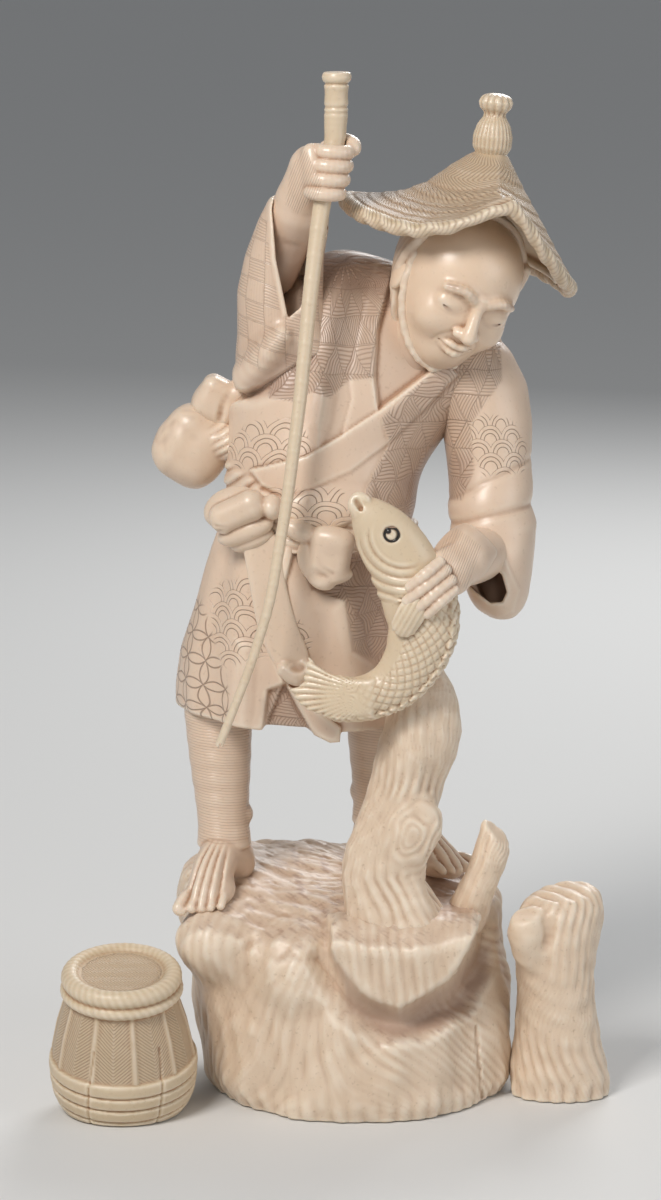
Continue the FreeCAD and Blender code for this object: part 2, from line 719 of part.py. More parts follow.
def head_blank():
    skull = carved("skull", skin(head_rings(0)))
    nose = blob("nose", head_spot(0, -0.49, -0.04), size("nose_length", 0.72), size("nose_length", 0.80),
                size("nose_length"), head_turn, "tiny")
    ears = [blob("ear", head_spot(side, 0.04, -0.02), size("ear_height", 0.4), size("ear_height", 0.62),
                 size("ear_height"), head_turn, "tiny") for side in (-0.48, 0.48)]
    neck_foot = head_centre.moved(size("head_width", -0.40), size("head_depth", 0.18), size("head_height", -0.46))
    neck = limb("neck", neck_foot, NECK_SHARES, size("neck_width"), size("neck_width"), size("neck_width"))
    return fused("head_blank", skull, nose, neck, *ears)


def scarf_blank():
    """A cloth shell over the back and sides of the head, open in front of the face."""
    shell = carved("scarf_shell", skin(head_rings(float(size("scarf_wall")))))
    reach = size("head_width", 2.4)
    front = bound("Part::Box", "face_opening", head_spot(-1.2, -1.42, -1.2), head_turn,
                  Length=reach, Width=size("head_depth", 1.30), Height=reach)
    return cut("scarf_open", shell, front)


# Hat: a wide woven cone whose front rim is lifted into a peak
hat_turn = Rotation(AWAY, angle("hat_lean_angle"))
HAT_DEPTH_SHARE = 0.90
HAT_RING_SHARES = (0.04, 0.14, 0.28, 0.44, 0.60, 0.76, 0.90, 1.00)
HAT_LIFT_ANGLE = -72
HAT_LIFT_SPREAD = 34
HAT_CURVE_SHARES = (0.62, 0.38)


def hat_height(across_share, away_share):
    """Height of the hat over its rim plane, at a place given in shares of the hat's radius."""
    reach = math.hypot(across_share, away_share)
    inner = max(0.0, 1 - reach)
    steep, even = HAT_CURVE_SHARES
    soft = math.sqrt(reach * reach + 0.01) - 0.1
    cone = float(size("hat_height")) * (steep * max(0.0, 1 - soft) ** 1.7 + even * (1 - soft))
    if reach > 0:
        bearing = math.degrees(math.atan2(away_share, across_share))
    else:
        bearing = 0.0
    turn = (bearing - HAT_LIFT_ANGLE + 180) % 360 - 180
    bell = math.exp(-(turn / HAT_LIFT_SPREAD) ** 2)
    lift = float(size("hat_lift")) * bell * min(reach, 1.3) ** 1.6 * (1 - 0.5 * inner)
    return cone + lift


def hat_blank():
    """A shell of even wall: rings from the crown out to the rim, then back in on the underside."""
    radius, wall = float(size("hat_width")) * HALF, float(size("hat_wall"))
    across, along, up = (hat_turn.multVec(axis) for axis in (RIGHT, AWAY, UP))
    rings = []
    for drop, shares in ((0, HAT_RING_SHARES), (wall, HAT_RING_SHARES[::-1])):
        for share in shares:
            ring = []
            for step in range(FACETS["huge"]):
                turn = FULL_TURN * step / FACETS["huge"]
                x, y = share * math.cos(turn), share * math.sin(turn)
                level = hat_height(x, y) - drop
                ring.append(hat_centre.vector() + across * (x * radius) + along * (y * radius * HAT_DEPTH_SHARE)
                            + up * level)
            rings.append(ring)
    return carved("hat_blank", skin(rings))


hat_top = hat_centre.vector() + hat_turn.multVec(UP) * hat_height(0, 0)
TASSEL_SHARES = (
    (-0.10, 0.22),
    (0.02, 0.34),
    (0.22, 0.50),
    (0.44, 0.47),
    (0.60, 0.24),
    (0.68, 0.24),
    (0.80, 0.43),
    (0.92, 0.40),
    (1.00, 0.20),
)


def tassel_blank():
    """A fluted bulb under a small knot, a little out of upright."""
    high, wide = float(size("tassel_height")), float(size("tassel_width"))
    lean = Vector(0.10, 0, 1).normalize()
    across = AWAY.cross(lean)
    flutes = ((count("tassel_flute_count"), 0.05, 0),)
    rings = [outline(hat_top + lean * (rise * high), across, AWAY, half * wide, half * wide, flutes, "huge")
             for rise, half in TASSEL_SHARES]
    return carved("tassel_blank", skin(rings))


# Rod: a tapering bowed cane with a turned butt above the fist
ROD_SHARES = (
    (0.018, 0.010, 0.137, 1.28),
    (0.017, 0.010, 0.131, 1.28),
    (0.017, 0.010, 0.125, 1.02),
    (0.016, 0.010, 0.110, 1.08),
    (0.016, 0.009, 0.092, 1.12),
    (0.015, 0.009, 0.085, 1.02),
    (0.013, 0.005, 0.036, 0.96),
    (-0.004, -0.011, -0.051, 0.84),
    (-0.019, -0.033, -0.159, 0.74),
    (-0.037, -0.072, -0.331, 0.64),
    (-0.056, -0.100, -0.475, 0.57),
    (-0.081, -0.122, -0.620, 0.50),
    (-0.118, -0.128, -0.740, 0.46),
    (-0.156, -0.122, -0.843, 0.43),
)


def rod_solid(label, clearance):
    """The rod, or the room that it needs where the fist closes round it."""
    length, grip = float(size("rod_length")), float(size("rod_grip_width"))
    points = [fist.vector() + Vector(x, y, z) * length for x, y, z, _ in ROD_SHARES]
    rings = []
    for point, direction, row in zip(points, tangents(points), ROD_SHARES):
        across = AWAY.cross(direction).normalize()
        radius = row[3] * grip * HALF + clearance
        rings.append(outline(point, across, direction.cross(across), radius, radius, facets="limb"))
    return carved(label, skin(rings))


# Fish: a carp held head up, its body bent into a hook with the tail fanned to the left
FISH_SHARES = (
    (-0.310, 0.00, 0.500, 0.17, 0.24),
    (-0.280, 0.00, 0.470, 0.23, 0.34),
    (-0.180, 0.00, 0.340, 0.40, 0.46),
    (-0.080, 0.00, 0.170, 0.48, 0.50),
    (0.020, 0.00, -0.020, 0.49, 0.50),
    (0.065, 0.00, -0.180, 0.46, 0.49),
    (0.020, 0.00, -0.330, 0.40, 0.46),
    (-0.130, 0.00, -0.420, 0.31, 0.40),
    (-0.280, 0.00, -0.430, 0.24, 0.30),
    (-0.360, 0.00, -0.400, 0.26, 0.26),
)
TAIL_HEADING = Vector(-0.86, 0, 0.34)
TAIL_FAN_SHARES = (
    (-0.25, 0.18, 0.16),
    (0.15, 0.32, 0.22),
    (0.55, 0.50, 0.18),
    (0.78, 0.52, 0.10),
)


def fish_blank():
    length, width, thick = size("fish_length"), size("fish_width"), size("fish_thickness")
    body = limb("fish_body", fish_place, FISH_SHARES, length, width, thick)
    end_x, end_y, end_z = FISH_SHARES[-1][:3]
    root = fish_place.vector() + Vector(end_x, end_y, end_z) * float(length)
    run = TAIL_HEADING.normalize()
    across = AWAY.cross(run).normalize()
    fan_size = float(size("fish_tail_width"))
    rings = [outline(root + run * (along * fan_size), across, AWAY, wide * fan_size, deep * float(thick),
                     facets="limb") for along, wide, deep in TAIL_FAN_SHARES]
    fan = carved("fish_tail_fan", skin(rings))
    fin_turn = Rotation(RIGHT, Vector(0.75, 0.18, 0.60))
    fin_place = fish_place.moved(length * -0.02, thick * -0.52, length * 0.06)
    fin = blob("fish_fin", fin_place, size("fish_fin_length"), thick * 0.22,
                    size("fish_fin_length", 0.55), fin_turn)
    return fused("fish_blank", body, fan, fin)


def fish_eye_set():
    """Two dark inlaid eyes, one on each side of the head."""
    eyes = []
    for side in (-1, 1):
        middle = fish_place.moved(size("fish_length", -0.165), size("fish_thickness", 0.36 * side),
                                  size("fish_length", 0.335))
        eyes.append(blob("fish_eye", middle, size("fish_eye_width"), size("fish_eye_depth", 2),
                              size("fish_eye_width")))
    made = doc.addObject("Part::Compound", "fish_eyes")
    made.Links = eyes
    return made


# Pouch and its toggle behind the right hip
pouch_place = waist.moved(size("torso_width", -0.570), size("torso_depth", 0.15), size("torso_height", 0.215))
toggle_place = waist.moved(size("torso_width", -0.435), size("torso_depth", 0.15), size("torso_height", 0.395))


def pouch_blank():
    sack = blob("pouch_sack", pouch_place, size("pouch_width"), size("pouch_depth"),
                     size("pouch_width", 0.92), Rotation(AWAY, 20))
    neck = blob("pouch_neck", pouch_place.moved(size("pouch_width", 0.42), Span({}), size("pouch_width", 0.10)),
                     size("pouch_width", 0.6), size("pouch_depth", 0.6), size("pouch_width", 0.55))
    return fused("pouch_blank", sack, neck)


# Creel: a small barrel basket with ribs, hoops at its foot and a rolled rim, leaning on its trimmed foot
creel_place = Place(size("base_width", -0.48) - size("standing_gap") - size("creel_width", 0.46),
                    size("base_depth", -0.33), Span({}))
creel_turn = Rotation(RIGHT, angle("creel_lean_angle"))
CREEL_RIB_SHARE = 0.02
CREEL_SHARES = (
    (-0.08, 0.300, 0), (0.03, 0.375, 0), (0.09, 0.425, 0), (0.11, 0.455, 0), (0.17, 0.470, 0), (0.19, 0.462, 0),
    (0.21, 0.485, 0), (0.28, 0.500, 0), (0.30, 0.488, 0), (0.32, 0.500, 0), (0.38, 0.505, 0), (0.40, 0.478, 1),
    (0.60, 0.462, 1), (0.78, 0.418, 1), (0.84, 0.395, 0), (0.86, 0.420, 0), (0.92, 0.425, 0), (0.96, 0.400, 0),
    (0.98, 0.350, 0), (0.94, 0.305, 0), (0.915, 0.290, 0), (0.915, 0.120, 0),
)


def along_creel(rise):
    """A place on the creel's leaning axis at a share of its height."""
    return creel_place.vector() + creel_turn.multVec(UP) * (rise * float(size("creel_height")))


def creel_blank():
    """One skin up the barrel, over the rim and down to the sunk top; ribs swell the middle rings."""
    across, along = creel_turn.multVec(RIGHT), creel_turn.multVec(AWAY)
    rings = []
    for rise, half, ribbed in CREEL_SHARES:
        ribs = ((count("creel_rib_count"), CREEL_RIB_SHARE, 0),) if ribbed else ()
        reach = half * float(size("creel_width"))
        rings.append(outline(along_creel(rise), across, along, reach, reach, ribs, "huge"))
    whole = carved("creel_whole", skin(rings))
    side = size("creel_width", 2)
    corner = creel_place.moved(size("creel_width", -1), size("creel_width", -1), size("creel_width", -1))
    under = bound("Part::Box", "creel_under", corner, Length=side, Width=side, Height=size("creel_width"))
    return cut("creel", whole, under)


# Loose stump that stands at the right of the base
log_place = Place(size("base_width", 0.565) + size("standing_gap") + size("log_width", 0.36),
                  size("base_depth", -0.19), Span({}))
LOG_SHARES = (
    (0.00, 0.03, -0.02, 0.47, 0.46),
    (0.04, 0.03, -0.02, 0.50, 0.50),
    (0.22, 0.02, -0.01, 0.46, 0.47),
    (0.45, 0.00, 0.00, 0.44, 0.46),
    (0.68, 0.01, 0.00, 0.47, 0.48),
    (0.85, 0.02, 0.00, 0.50, 0.50),
    (0.95, 0.03, 0.00, 0.42, 0.44),
    (1.00, 0.03, 0.00, 0.24, 0.26),
)
LOG_FOLDS = ((3, 0.03, 0.2), (9, 0.03, 0.1))


def log_blank():
    stem = upright_skin("log_stem", log_place, LOG_SHARES, size("log_width"), size("log_depth"),
                        size("log_height"), LOG_FOLDS)
    knob = blob("log_knob", log_place.moved(size("log_width", -0.30), size("log_depth", -0.34),
                     size("log_height", 0.84)), size("log_knob_width"), size("log_knob_width", 1.3),
                     size("log_knob_width", 1.2))
    return fused("small_stump", stem, knob)


# Blanks of the carved pieces, before they are seated on each other
base_blank = stump_blank()
tree_blank = trunk_blank()
branch_blank = upright_skin("stub_blank", stub_foot, STUB_SHARES, size("stub_width"), size("stub_width"),
                            size("stub_height"), ((5, 0.04, 0.2),))
right_leg_blank = leg_blank("right_leg", right_knee, *RIGHT_FOOT_TURN, right_heel)
left_leg_blank = leg_blank("left_leg", left_knee, *LEFT_FOOT_TURN, left_heel)
skirt_blank = upright_skin("skirt_blank", hem, SKIRT_SHARES, size("skirt_width"), size("skirt_depth"),
                           size("skirt_height"), SKIRT_FOLDS)
body_blank = upright_skin("body_blank", waist, TORSO_SHARES, size("torso_width"), size("torso_depth"),
                          size("torso_height"))
band_blank = sash_blank()
right_bow_blank = knot_bow("right_bow", right_bow_place, Vector(0.10, 1, 0.25))
left_bow_blank = knot_bow("left_bow", left_bow_place, Vector(-0.05, 1, -0.35))
sash_tail_blank = limb("tail_blank", tail_place, TAIL_SHARES, size("tail_length"), size("tail_width"),
                       size("tail_depth"), facets="small")
raised_sleeve_blank = upright_skin("raised_sleeve_blank", right_shoulder, RIGHT_SLEEVE_SHARES,
                                   size("right_sleeve_width"), size("right_sleeve_depth"),
                                   size("right_sleeve_length"))
sleeve_slot = blob("sleeve_slot", slot_place, size("sleeve_slot_width"), size("sleeve_slot_width", 1.7),
                        size("sleeve_slot_length"))
raised_hand_blank = fist_blank()
lowered_sleeve_blank = fused(
    "lowered_sleeve_blank",
    limb("lowered_sleeve", left_shoulder, LEFT_SLEEVE_SHARES, size("left_sleeve_length"),
         size("left_sleeve_width"), size("left_sleeve_width"), facets="medium"),
    upright_skin("hanging_mouth", left_mouth_place, LEFT_MOUTH_SHARES, size("left_sleeve_width"),
                 size("left_sleeve_width"), size("left_mouth_drop")))
open_hand = open_hand_blank()
bare_head = head_blank()
scarf_shell = scarf_blank()
hat_shell = hat_blank()
tassel_shape = tassel_blank()
rod_blank = rod_solid("rod", 0)
rod_room = rod_solid("rod_room", float(size("running_gap")))
carp_blank = fish_blank()
fish_eyes = fish_eye_set()
sack_blank = pouch_blank()
toggle_blank = blob("toggle_blank", toggle_place, size("toggle_width"), size("toggle_width", 0.9),
                         size("toggle_width"))

# Dowels, each across the joint of two pieces
leg_pins = doc.addObject("Part::Compound", "leg_dowels")
leg_pins.Links = [dowel("leg_dowel", knee, UP * 1) for knee in (right_knee, left_knee)]
trunk_pin = dowel("trunk_dowel", trunk_foot.moved(Span({}), Span({}), size("base_height", 0.06)), UP * 1)
stub_pin = dowel("branch_dowel", stub_foot.moved(Span({}), Span({}), size("base_height", 0.05)), UP * 1,
                 "fine_dowel_width", "fine_dowel_length")
waist_pin = dowel("waist_dowel", waist, UP * 1)
neck_pin = dowel("neck_dowel", head_centre.moved(size("head_width", -0.42), size("head_depth", 0.20),
                 size("head_height", -0.62)), Vector(0.4, -0.15, 1))
hat_pin = dowel("hat_dowel", head_spot(0, 0.04, 0.52), head_turn.multVec(UP))
tassel_pin = dowel("tassel_dowel", hat_centre.moved(size("hat_height", 0.36), Span({}), size("hat_height", 0.94)),
                   Vector(0.1, 0, 1), "fine_dowel_width", "fine_dowel_length")
sleeve_pins = doc.addObject("Part::Compound", "sleeve_dowels")
sleeve_pins.Links = [
    dowel("sleeve_dowel", right_shoulder.moved(size("right_sleeve_width", 0.18), Span({}),
          size("right_sleeve_length", 0.22)), Vector(-1, 0, 0.35)),
    dowel("sleeve_dowel", left_shoulder.moved(size("left_sleeve_width", -0.22), Span({}),
          size("left_sleeve_width", -0.32)), Vector(1, 0, -0.25)),
]

# Seating: each piece is cut by the pieces that it stands on or closes round
stump = cut("stump_base", base_blank, trunk_pin, stub_pin)
right_leg = cut("right_leg", right_leg_blank, base_blank, leg_pins)
left_leg = cut("left_leg", left_leg_blank, base_blank, leg_pins)
skirt = cut("robe_skirt", skirt_blank, right_leg_blank, left_leg_blank, leg_pins, waist_pin)
body = cut("robe_body", body_blank, bare_head, waist_pin, neck_pin, sleeve_pins)
carp = cut("fish", carp_blank, fish_eyes)
tree = cut("leaning_trunk", tree_blank, base_blank, skirt_blank, carp_blank, trunk_pin)
branch = cut("branch_stub", branch_blank, base_blank, stub_pin)
raised_sleeve = cut("right_sleeve", raised_sleeve_blank, body_blank, sleeve_slot, raised_hand_blank, sleeve_pins)
raised_hand = cut("right_hand", raised_hand_blank, rod_room, body_blank)
lowered_hand = cut("left_hand", open_hand, carp_blank)
lowered_sleeve = cut("left_sleeve", lowered_sleeve_blank, body_blank, open_hand, bare_head, scarf_shell,
                     sleeve_pins)
band = cut("sash", band_blank, skirt_blank, body_blank)
head = cut("head", bare_head, neck_pin, hat_pin, sleeve_pins)
scarf = cut("head_scarf", scarf_shell, bare_head, body_blank, hat_pin)
hat = cut("hat", hat_shell, bare_head, scarf_shell, hat_pin, tassel_pin)
tassel = cut("hat_tassel", tassel_shape, hat_shell, tassel_pin)
right_bow = cut("right_bow", right_bow_blank, skirt_blank, body_blank, band_blank)
left_bow = cut("left_bow", left_bow_blank, skirt_blank, body_blank, band_blank, carp_blank)
sash_tail = cut("sash_tail", sash_tail_blank, skirt_blank, body_blank, band_blank, right_bow_blank, left_bow_blank)
toggle = cut("pouch_toggle", toggle_blank, body_blank, raised_sleeve_blank)
pouch = cut("pouch", sack_blank, body_blank, skirt_blank, band_blank, toggle_blank, raised_sleeve_blank)
creel = creel_blank()
small_stump = log_blank()

PIECES = [
    stump, tree, branch, right_leg, left_leg, skirt, body, band, right_bow, left_bow, sash_tail,
    raised_sleeve, raised_hand, lowered_sleeve, lowered_hand, head, scarf, hat, tassel, rod_blank,
    carp, fish_eyes, pouch, toggle, creel, small_stump, leg_pins, trunk_pin, stub_pin, waist_pin,
    neck_pin, hat_pin, tassel_pin, sleeve_pins,
]

doc.recompute()


def failed_objects():
    """Names of the objects that did not compute."""
    return [made.Name for made in doc.Objects if "Invalid" in made.State or "Error" in made.State]


def check_pieces():
    """Stops the build when a piece is missing, broken or empty."""
    broken = failed_objects()
    if broken:
        raise RuntimeError(f"objects failed: {broken}")
    for piece in PIECES:
        if piece.Shape.isNull() or not piece.Shape.isValid() or piece.Shape.Volume <= 0:
            raise RuntimeError(f"{piece.Label} has no valid solid")


def write_pieces():
    """Writes each piece to a file named after its label."""
    os.makedirs("parts", exist_ok=True)
    for piece in PIECES:
        piece.Shape.exportStep(f"parts/{piece.Label}.step")
        print(f"{piece.Label}: {len(piece.Shape.Solids)} solids, {piece.Shape.Volume:.0f} mm3")


check_pieces()
write_pieces()
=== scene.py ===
import math
from functools import partialmethod
import bpy
import numpy as np
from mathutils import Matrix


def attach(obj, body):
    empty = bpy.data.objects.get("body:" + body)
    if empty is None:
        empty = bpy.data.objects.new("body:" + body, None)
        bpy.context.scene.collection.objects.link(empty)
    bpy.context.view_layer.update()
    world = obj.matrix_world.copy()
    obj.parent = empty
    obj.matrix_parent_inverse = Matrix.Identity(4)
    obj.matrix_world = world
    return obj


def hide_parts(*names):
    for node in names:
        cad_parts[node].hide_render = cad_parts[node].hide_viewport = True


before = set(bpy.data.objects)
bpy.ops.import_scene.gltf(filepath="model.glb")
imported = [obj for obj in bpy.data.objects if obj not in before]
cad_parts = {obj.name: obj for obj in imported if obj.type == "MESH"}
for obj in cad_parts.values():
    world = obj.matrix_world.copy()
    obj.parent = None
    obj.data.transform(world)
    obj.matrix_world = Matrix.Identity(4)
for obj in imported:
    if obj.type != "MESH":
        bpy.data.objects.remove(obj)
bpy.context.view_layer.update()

import openvdb as vdb
from mathutils import Vector

MM = 0.001
COARSE = 1.0

# Camera of the photo: lengths in mm, places in pixels of a 661 x 1200 frame.
# PIXEL is the size of one of those pixels at the object's middle.
EYE_REACH = 1150.0
PITCH = math.radians(11)
TARGET = (-4.0, 0.0, 136.0)
FRAME_WIDE, FRAME_HIGH = 661, 1200
PIXEL = 0.275
FOCAL = EYE_REACH / PIXEL
SIN, COS = math.sin(PITCH), math.cos(PITCH)


def photo(p):
    """Where points of the object lie in the photo's frame."""
    z = p[:, 2] - TARGET[2]
    rise = p[:, 1] * SIN + z * COS
    depth = EYE_REACH + p[:, 1] * COS - z * SIN
    return FRAME_WIDE / 2 + (p[:, 0] - TARGET[0]) / depth * FOCAL, FRAME_HIGH / 2 - rise / depth * FOCAL


def spot(px, py, y):
    """The point at depth y behind a place in the photo's frame."""
    a, b = (FRAME_HIGH / 2 - py) / FOCAL, (px - FRAME_WIDE / 2) / FOCAL
    z = (a * (EYE_REACH + y * COS) - y * SIN) / (COS + a * SIN)
    depth = EYE_REACH + y * COS - z * SIN
    return (TARGET[0] + b * depth, y, TARGET[2] + z)


def seen(*rows):
    """Rows of (place in the photo's frame, depth, more) as rows of (point, more)."""
    return [(*spot(*row[:3]), *row[3:]) for row in rows]


# Distance fields
def smin(a, b, k):
    h = np.clip(0.5 + 0.5 * (b - a) / k, 0, 1)
    return b + (a - b) * h - k * h * (1 - h)


def smax(a, b, k):
    return -smin(-a, -b, k)


def step(value, low, high):
    t = np.clip((value - low) / (high - low), 0, 1)
    return t * t * (3 - 2 * t)


def table(x, pairs):
    """A smooth curve through (place, value) pairs."""
    keys = np.array([pair[0] for pair in pairs], float)
    values = np.array([pair[1] for pair in pairs], float)
    fine = np.linspace(keys[0], keys[-1], 400)
    line = np.interp(fine, keys, values)
    reach = 16
    kernel = np.hanning(2 * reach + 1)
    padded = np.concatenate([2 * line[0] - line[reach:0:-1], line, 2 * line[-1] - line[-2:-reach - 2:-1]])
    return np.interp(x, fine, np.convolve(padded, kernel / kernel.sum(), "valid"))


def turned(p, centre, turn=None):
    q = p - np.asarray(centre, float)
    return q if turn is None else q @ turn


def egg(p, centre, radii, turn=None):
    q = turned(p, centre, turn)
    radii = np.asarray(radii, float)
    a = np.sqrt(((q / radii) ** 2).sum(1))
    b = np.sqrt(((q / radii ** 2) ** 2).sum(1)) + 1e-9
    return a * (a - 1) / b


def slab(p, centre, halves, turn=None, soft=0.8):
    q = np.abs(turned(p, centre, turn)) - (np.asarray(halves, float) - soft)
    return np.sqrt((np.maximum(q, 0) ** 2).sum(1)) + np.minimum(q.max(1), 0) - soft


def spline(rows, parts=4):
    """More rows along a smooth curve through the given ones."""
    rows = np.array(rows, float)
    ends = np.vstack([2 * rows[0] - rows[1], rows, 2 * rows[-1] - rows[-2]])
    out = []
    for i in range(1, len(ends) - 2):
        a, b, c, d = ends[i - 1], ends[i], ends[i + 1], ends[i + 2]
        for t in np.arange(parts) / parts:
            out.append(0.5 * (2 * b + (c - a) * t + (2 * a - 5 * b + 4 * c - d) * t ** 2
                              + (3 * b - a - 3 * c + d) * t ** 3))
    out.append(rows[-1])
    return np.array(out)


def tube(p, rows, blend=0.3, parts=3):
    """A round limb through rows of (x, y, z, radius)."""
    rows = spline(rows, parts) if len(rows) > 2 else np.array(rows, float)
    best = None
    for a, b in zip(rows[:-1], rows[1:]):
        run = b[:3] - a[:3]
        t = np.clip(((p - a[:3]) @ run) / max(run @ run, 1e-9), 0, 1)
        gap = np.sqrt(((p - a[:3] - t[:, None] * run) ** 2).sum(1)) - (a[3] + (b[3] - a[3]) * t)
        best = gap if best is None else smin(best, gap, blend)
    return best


def along(p, rows, side):
    """Nearest place on a curve of (x, y, z, half width, half depth).

    Gives the length up to it, the offsets across and in depth, both halves and what lies past the ends.
    """
    rows = spline(rows, 4)
    lengths = np.concatenate([[0], np.cumsum(np.sqrt((np.diff(rows[:, :3], axis=0) ** 2).sum(1)))])
    near = np.full(len(p), 1e9)
    out = np.zeros((len(p), 6))
    side = np.asarray(side, float)
    for i in range(len(rows) - 1):
        a, b = rows[i], rows[i + 1]
        run = b[:3] - a[:3]
        size = math.sqrt(run @ run)
        axis = run / size
        across = np.cross(side, axis)
        across /= np.sqrt(across @ across)
        deep = np.cross(axis, across)
        rel = p - a[:3]
        t = np.clip((rel @ axis) / size, 0, 1)
        off = rel - t[:, None] * run
        gap = (off ** 2).sum(1)
        pick = gap < near
        near = np.where(pick, gap, near)
        got = np.stack([lengths[i] + t * size, off @ across, off @ deep, a[3] + (b[3] - a[3]) * t, a[4]
                        + (b[4] - a[4]) * t, off @ axis], 1)
        out = np.where(pick[:, None], got, out)
    return out, np.sqrt(near), lengths[-1]


def ribbon(got, near, cap=1.0):
    """Distance to the elliptical limb that along() measured, with rounded ends."""
    a, b, wide, deep, over = got.T[1:]
    ratio = np.sqrt((a / wide) ** 2 + (b / deep) ** 2 + (over / (wide * cap)) ** 2) + 1e-6
    return (near - near / ratio) * 0.85


def loft(p, rows, fold=None, power=2.0, turn=None, origin=(0, 0, 0)):
    """A form of rows (z, centre x, centre y, half x, half y); fold adds to it by bearing and height."""
    q = turned(p, origin, turn)
    z = np.clip(q[:, 2], rows[0][0], rows[-1][0])
    cx, cy, rx, ry = (table(z, [(row[0], row[i]) for row in rows]) for i in range(1, 5))
    x, y = q[:, 0] - cx, q[:, 1] - cy
    ratio = ((np.abs(x) / rx) ** power + (np.abs(y) / ry) ** power) ** (1 / power) + 1e-6
    reach = np.sqrt(x * x + y * y) + 1e-6
    gap = reach - reach / ratio
    if fold is not None:
        gap = gap - fold(np.arctan2(y, x), q[:, 2])
    return smax(gap * 0.9, np.maximum(rows[0][0] - q[:, 2], q[:, 2] - rows[-1][0]), 1.0)


def depth_in(px, py, outline):
    """How far places lie inside an outline in the photo's frame, in its pixels; negative outside."""
    pts = np.array(outline, float)
    gap = np.full(len(px), 1e18)
    sign = np.ones(len(px))
    for i in range(len(pts)):
        a, b = pts[i], pts[i - 1]
        ex, ey = b - a
        wx, wy = px - a[0], py - a[1]
        t = np.clip((wx * ex + wy * ey) / (ex * ex + ey * ey), 0, 1)
        gap = np.minimum(gap, (wx - ex * t) ** 2 + (wy - ey * t) ** 2)
        cross = (py >= a[1]) & (py < b[1]) & (ex * wy > ey * wx)
        other = (py < a[1]) & (py >= b[1]) & (ex * wy < ey * wx)
        sign = np.where(cross | other, -sign, sign)
    return -sign * np.sqrt(gap)


def inside(px, py, outline, soft=3.0):
    """1 inside an outline in the photo's frame, 0 outside, with an edge of the given width."""
    return step(depth_in(px, py, outline), -soft / 2, soft / 2)


def gate(p, outline, front):
    """A cutter through an outline of the photo's frame, for all that lies before a depth."""
    return np.minimum(depth_in(*photo(p), outline) * PIXEL, front - p[:, 1])


def grooved(p, across, lengthwise, pitch, deep, seed=1):
    """Uneven carved grooves that run along a form: across and lengthwise are coordinates on it in mm."""
    flow = across + 2.6 * rumple(p, 44, seed + 5) + 1.3 * np.sin(lengthwise / 13.0 + seed + across / 11.0)
    main = wave(flow + 0.35 * rumple(p, 12, seed), pitch)
    fine = wave(flow * 1.02 + 0.3 * rumple(p, 7, seed + 1), pitch * 0.37)
    strong = np.clip(0.45 + 0.65 * rumple(p, 26, seed + 2), 0.0, 1.15)
    return deep * strong * (main - 0.75) + 0.3 * deep * (1.2 - strong) * (fine - 0.6)


def wave(value, pitch):
    """Rounded ridges, 0 in the groove and 1 on the crest."""
    return np.abs(np.sin(math.pi * value / pitch))


def rumple(p, pitch, seed=0):
    """A cheap smooth noise between -1 and 1."""
    rng = np.random.default_rng(seed)
    total = 0
    for _ in range(5):
        k = rng.normal(size=3)
        k *= rng.uniform(0.7, 1.5) / np.sqrt(k @ k) * 2 * math.pi / pitch
        total = total + np.sin(p @ k + rng.uniform(0, 6.3))
    return total / 3


# From a field to a mesh with its own attributes
BLOCK = 8
BATCH = 1500
SHELL = 3


def mesh_of(field, low, high, pitch):
    """Samples a field in blocks of cells near its surface, then meshes it at zero."""
    pitch = pitch * COARSE
    low, high = np.array(low, float), np.array(high, float)
    counts = np.ceil((high - low) / pitch / BLOCK).astype(int) + 1
    grid = np.stack(np.meshgrid(*(np.arange(c) for c in counts), indexing="ij"), -1).reshape(-1, 3)
    middles = low + (grid * BLOCK + (BLOCK - 1) / 2) * pitch
    rough = field(middles)
    far = SHELL * pitch
    dense = rough.reshape(counts)
    for axis in range(3):
        dense = np.repeat(dense, BLOCK, axis)
    dense = np.clip(dense.astype(np.float32), -far, far)
    keep = grid[np.abs(rough) < 7.5 * pitch * 1.25 + 1.6]
    cell = np.stack(np.meshgrid(*([np.arange(BLOCK)] * 3), indexing="ij"), -1).reshape(-1, 3)
    for start in range(0, len(keep), BATCH):
        part = keep[start:start + BATCH]
        spots = (part[:, None, :] * BLOCK + cell[None]).reshape(-1, 3)
        dense[spots[:, 0], spots[:, 1], spots[:, 2]] = np.clip(field(low + spots * pitch), -far, far)
    dense[[0, -1], :, :] = dense[:, [0, -1], :] = dense[:, :, [0, -1]] = far
    cloud = vdb.FloatGrid(far)
    cloud.copyFromArray(dense)
    points, quads = cloud.convertToQuads()
    return low + points * pitch, quads


SIDES = ((0, 1), (1, 0), (1, 2), (2, 1), (2, 3), (3, 2), (3, 0), (0, 3))


def relaxed(values, quads, rounds):
    """Values spread over the neighbours on the mesh."""
    sides = [(quads[:, i], quads[:, j]) for i, j in SIDES]
    hits = np.maximum(sum(np.bincount(here, minlength=len(values)) for here, there in sides), 1)
    for _ in range(rounds):
        values = sum(np.bincount(here, values[there], len(values)) for here, there in sides) / hits
    return values


def crevices(points, normals, quads):
    """How deep each point lies below its surroundings, fine and broad."""
    hollow = 0
    for rounds, weight in ((2, 2.2), (12, 0.9)):
        spread = np.stack([relaxed(points[:, i].copy(), quads, rounds) for i in range(3)], 1)
        hollow = hollow + weight * ((spread - points) * normals).sum(1)
    return np.clip(hollow, -1, 1)


# Pieces that move with a body of their own; all others ride the root
BODY = {"rod": "rod", "creel": "creel", "small_stump": "small_stump"}


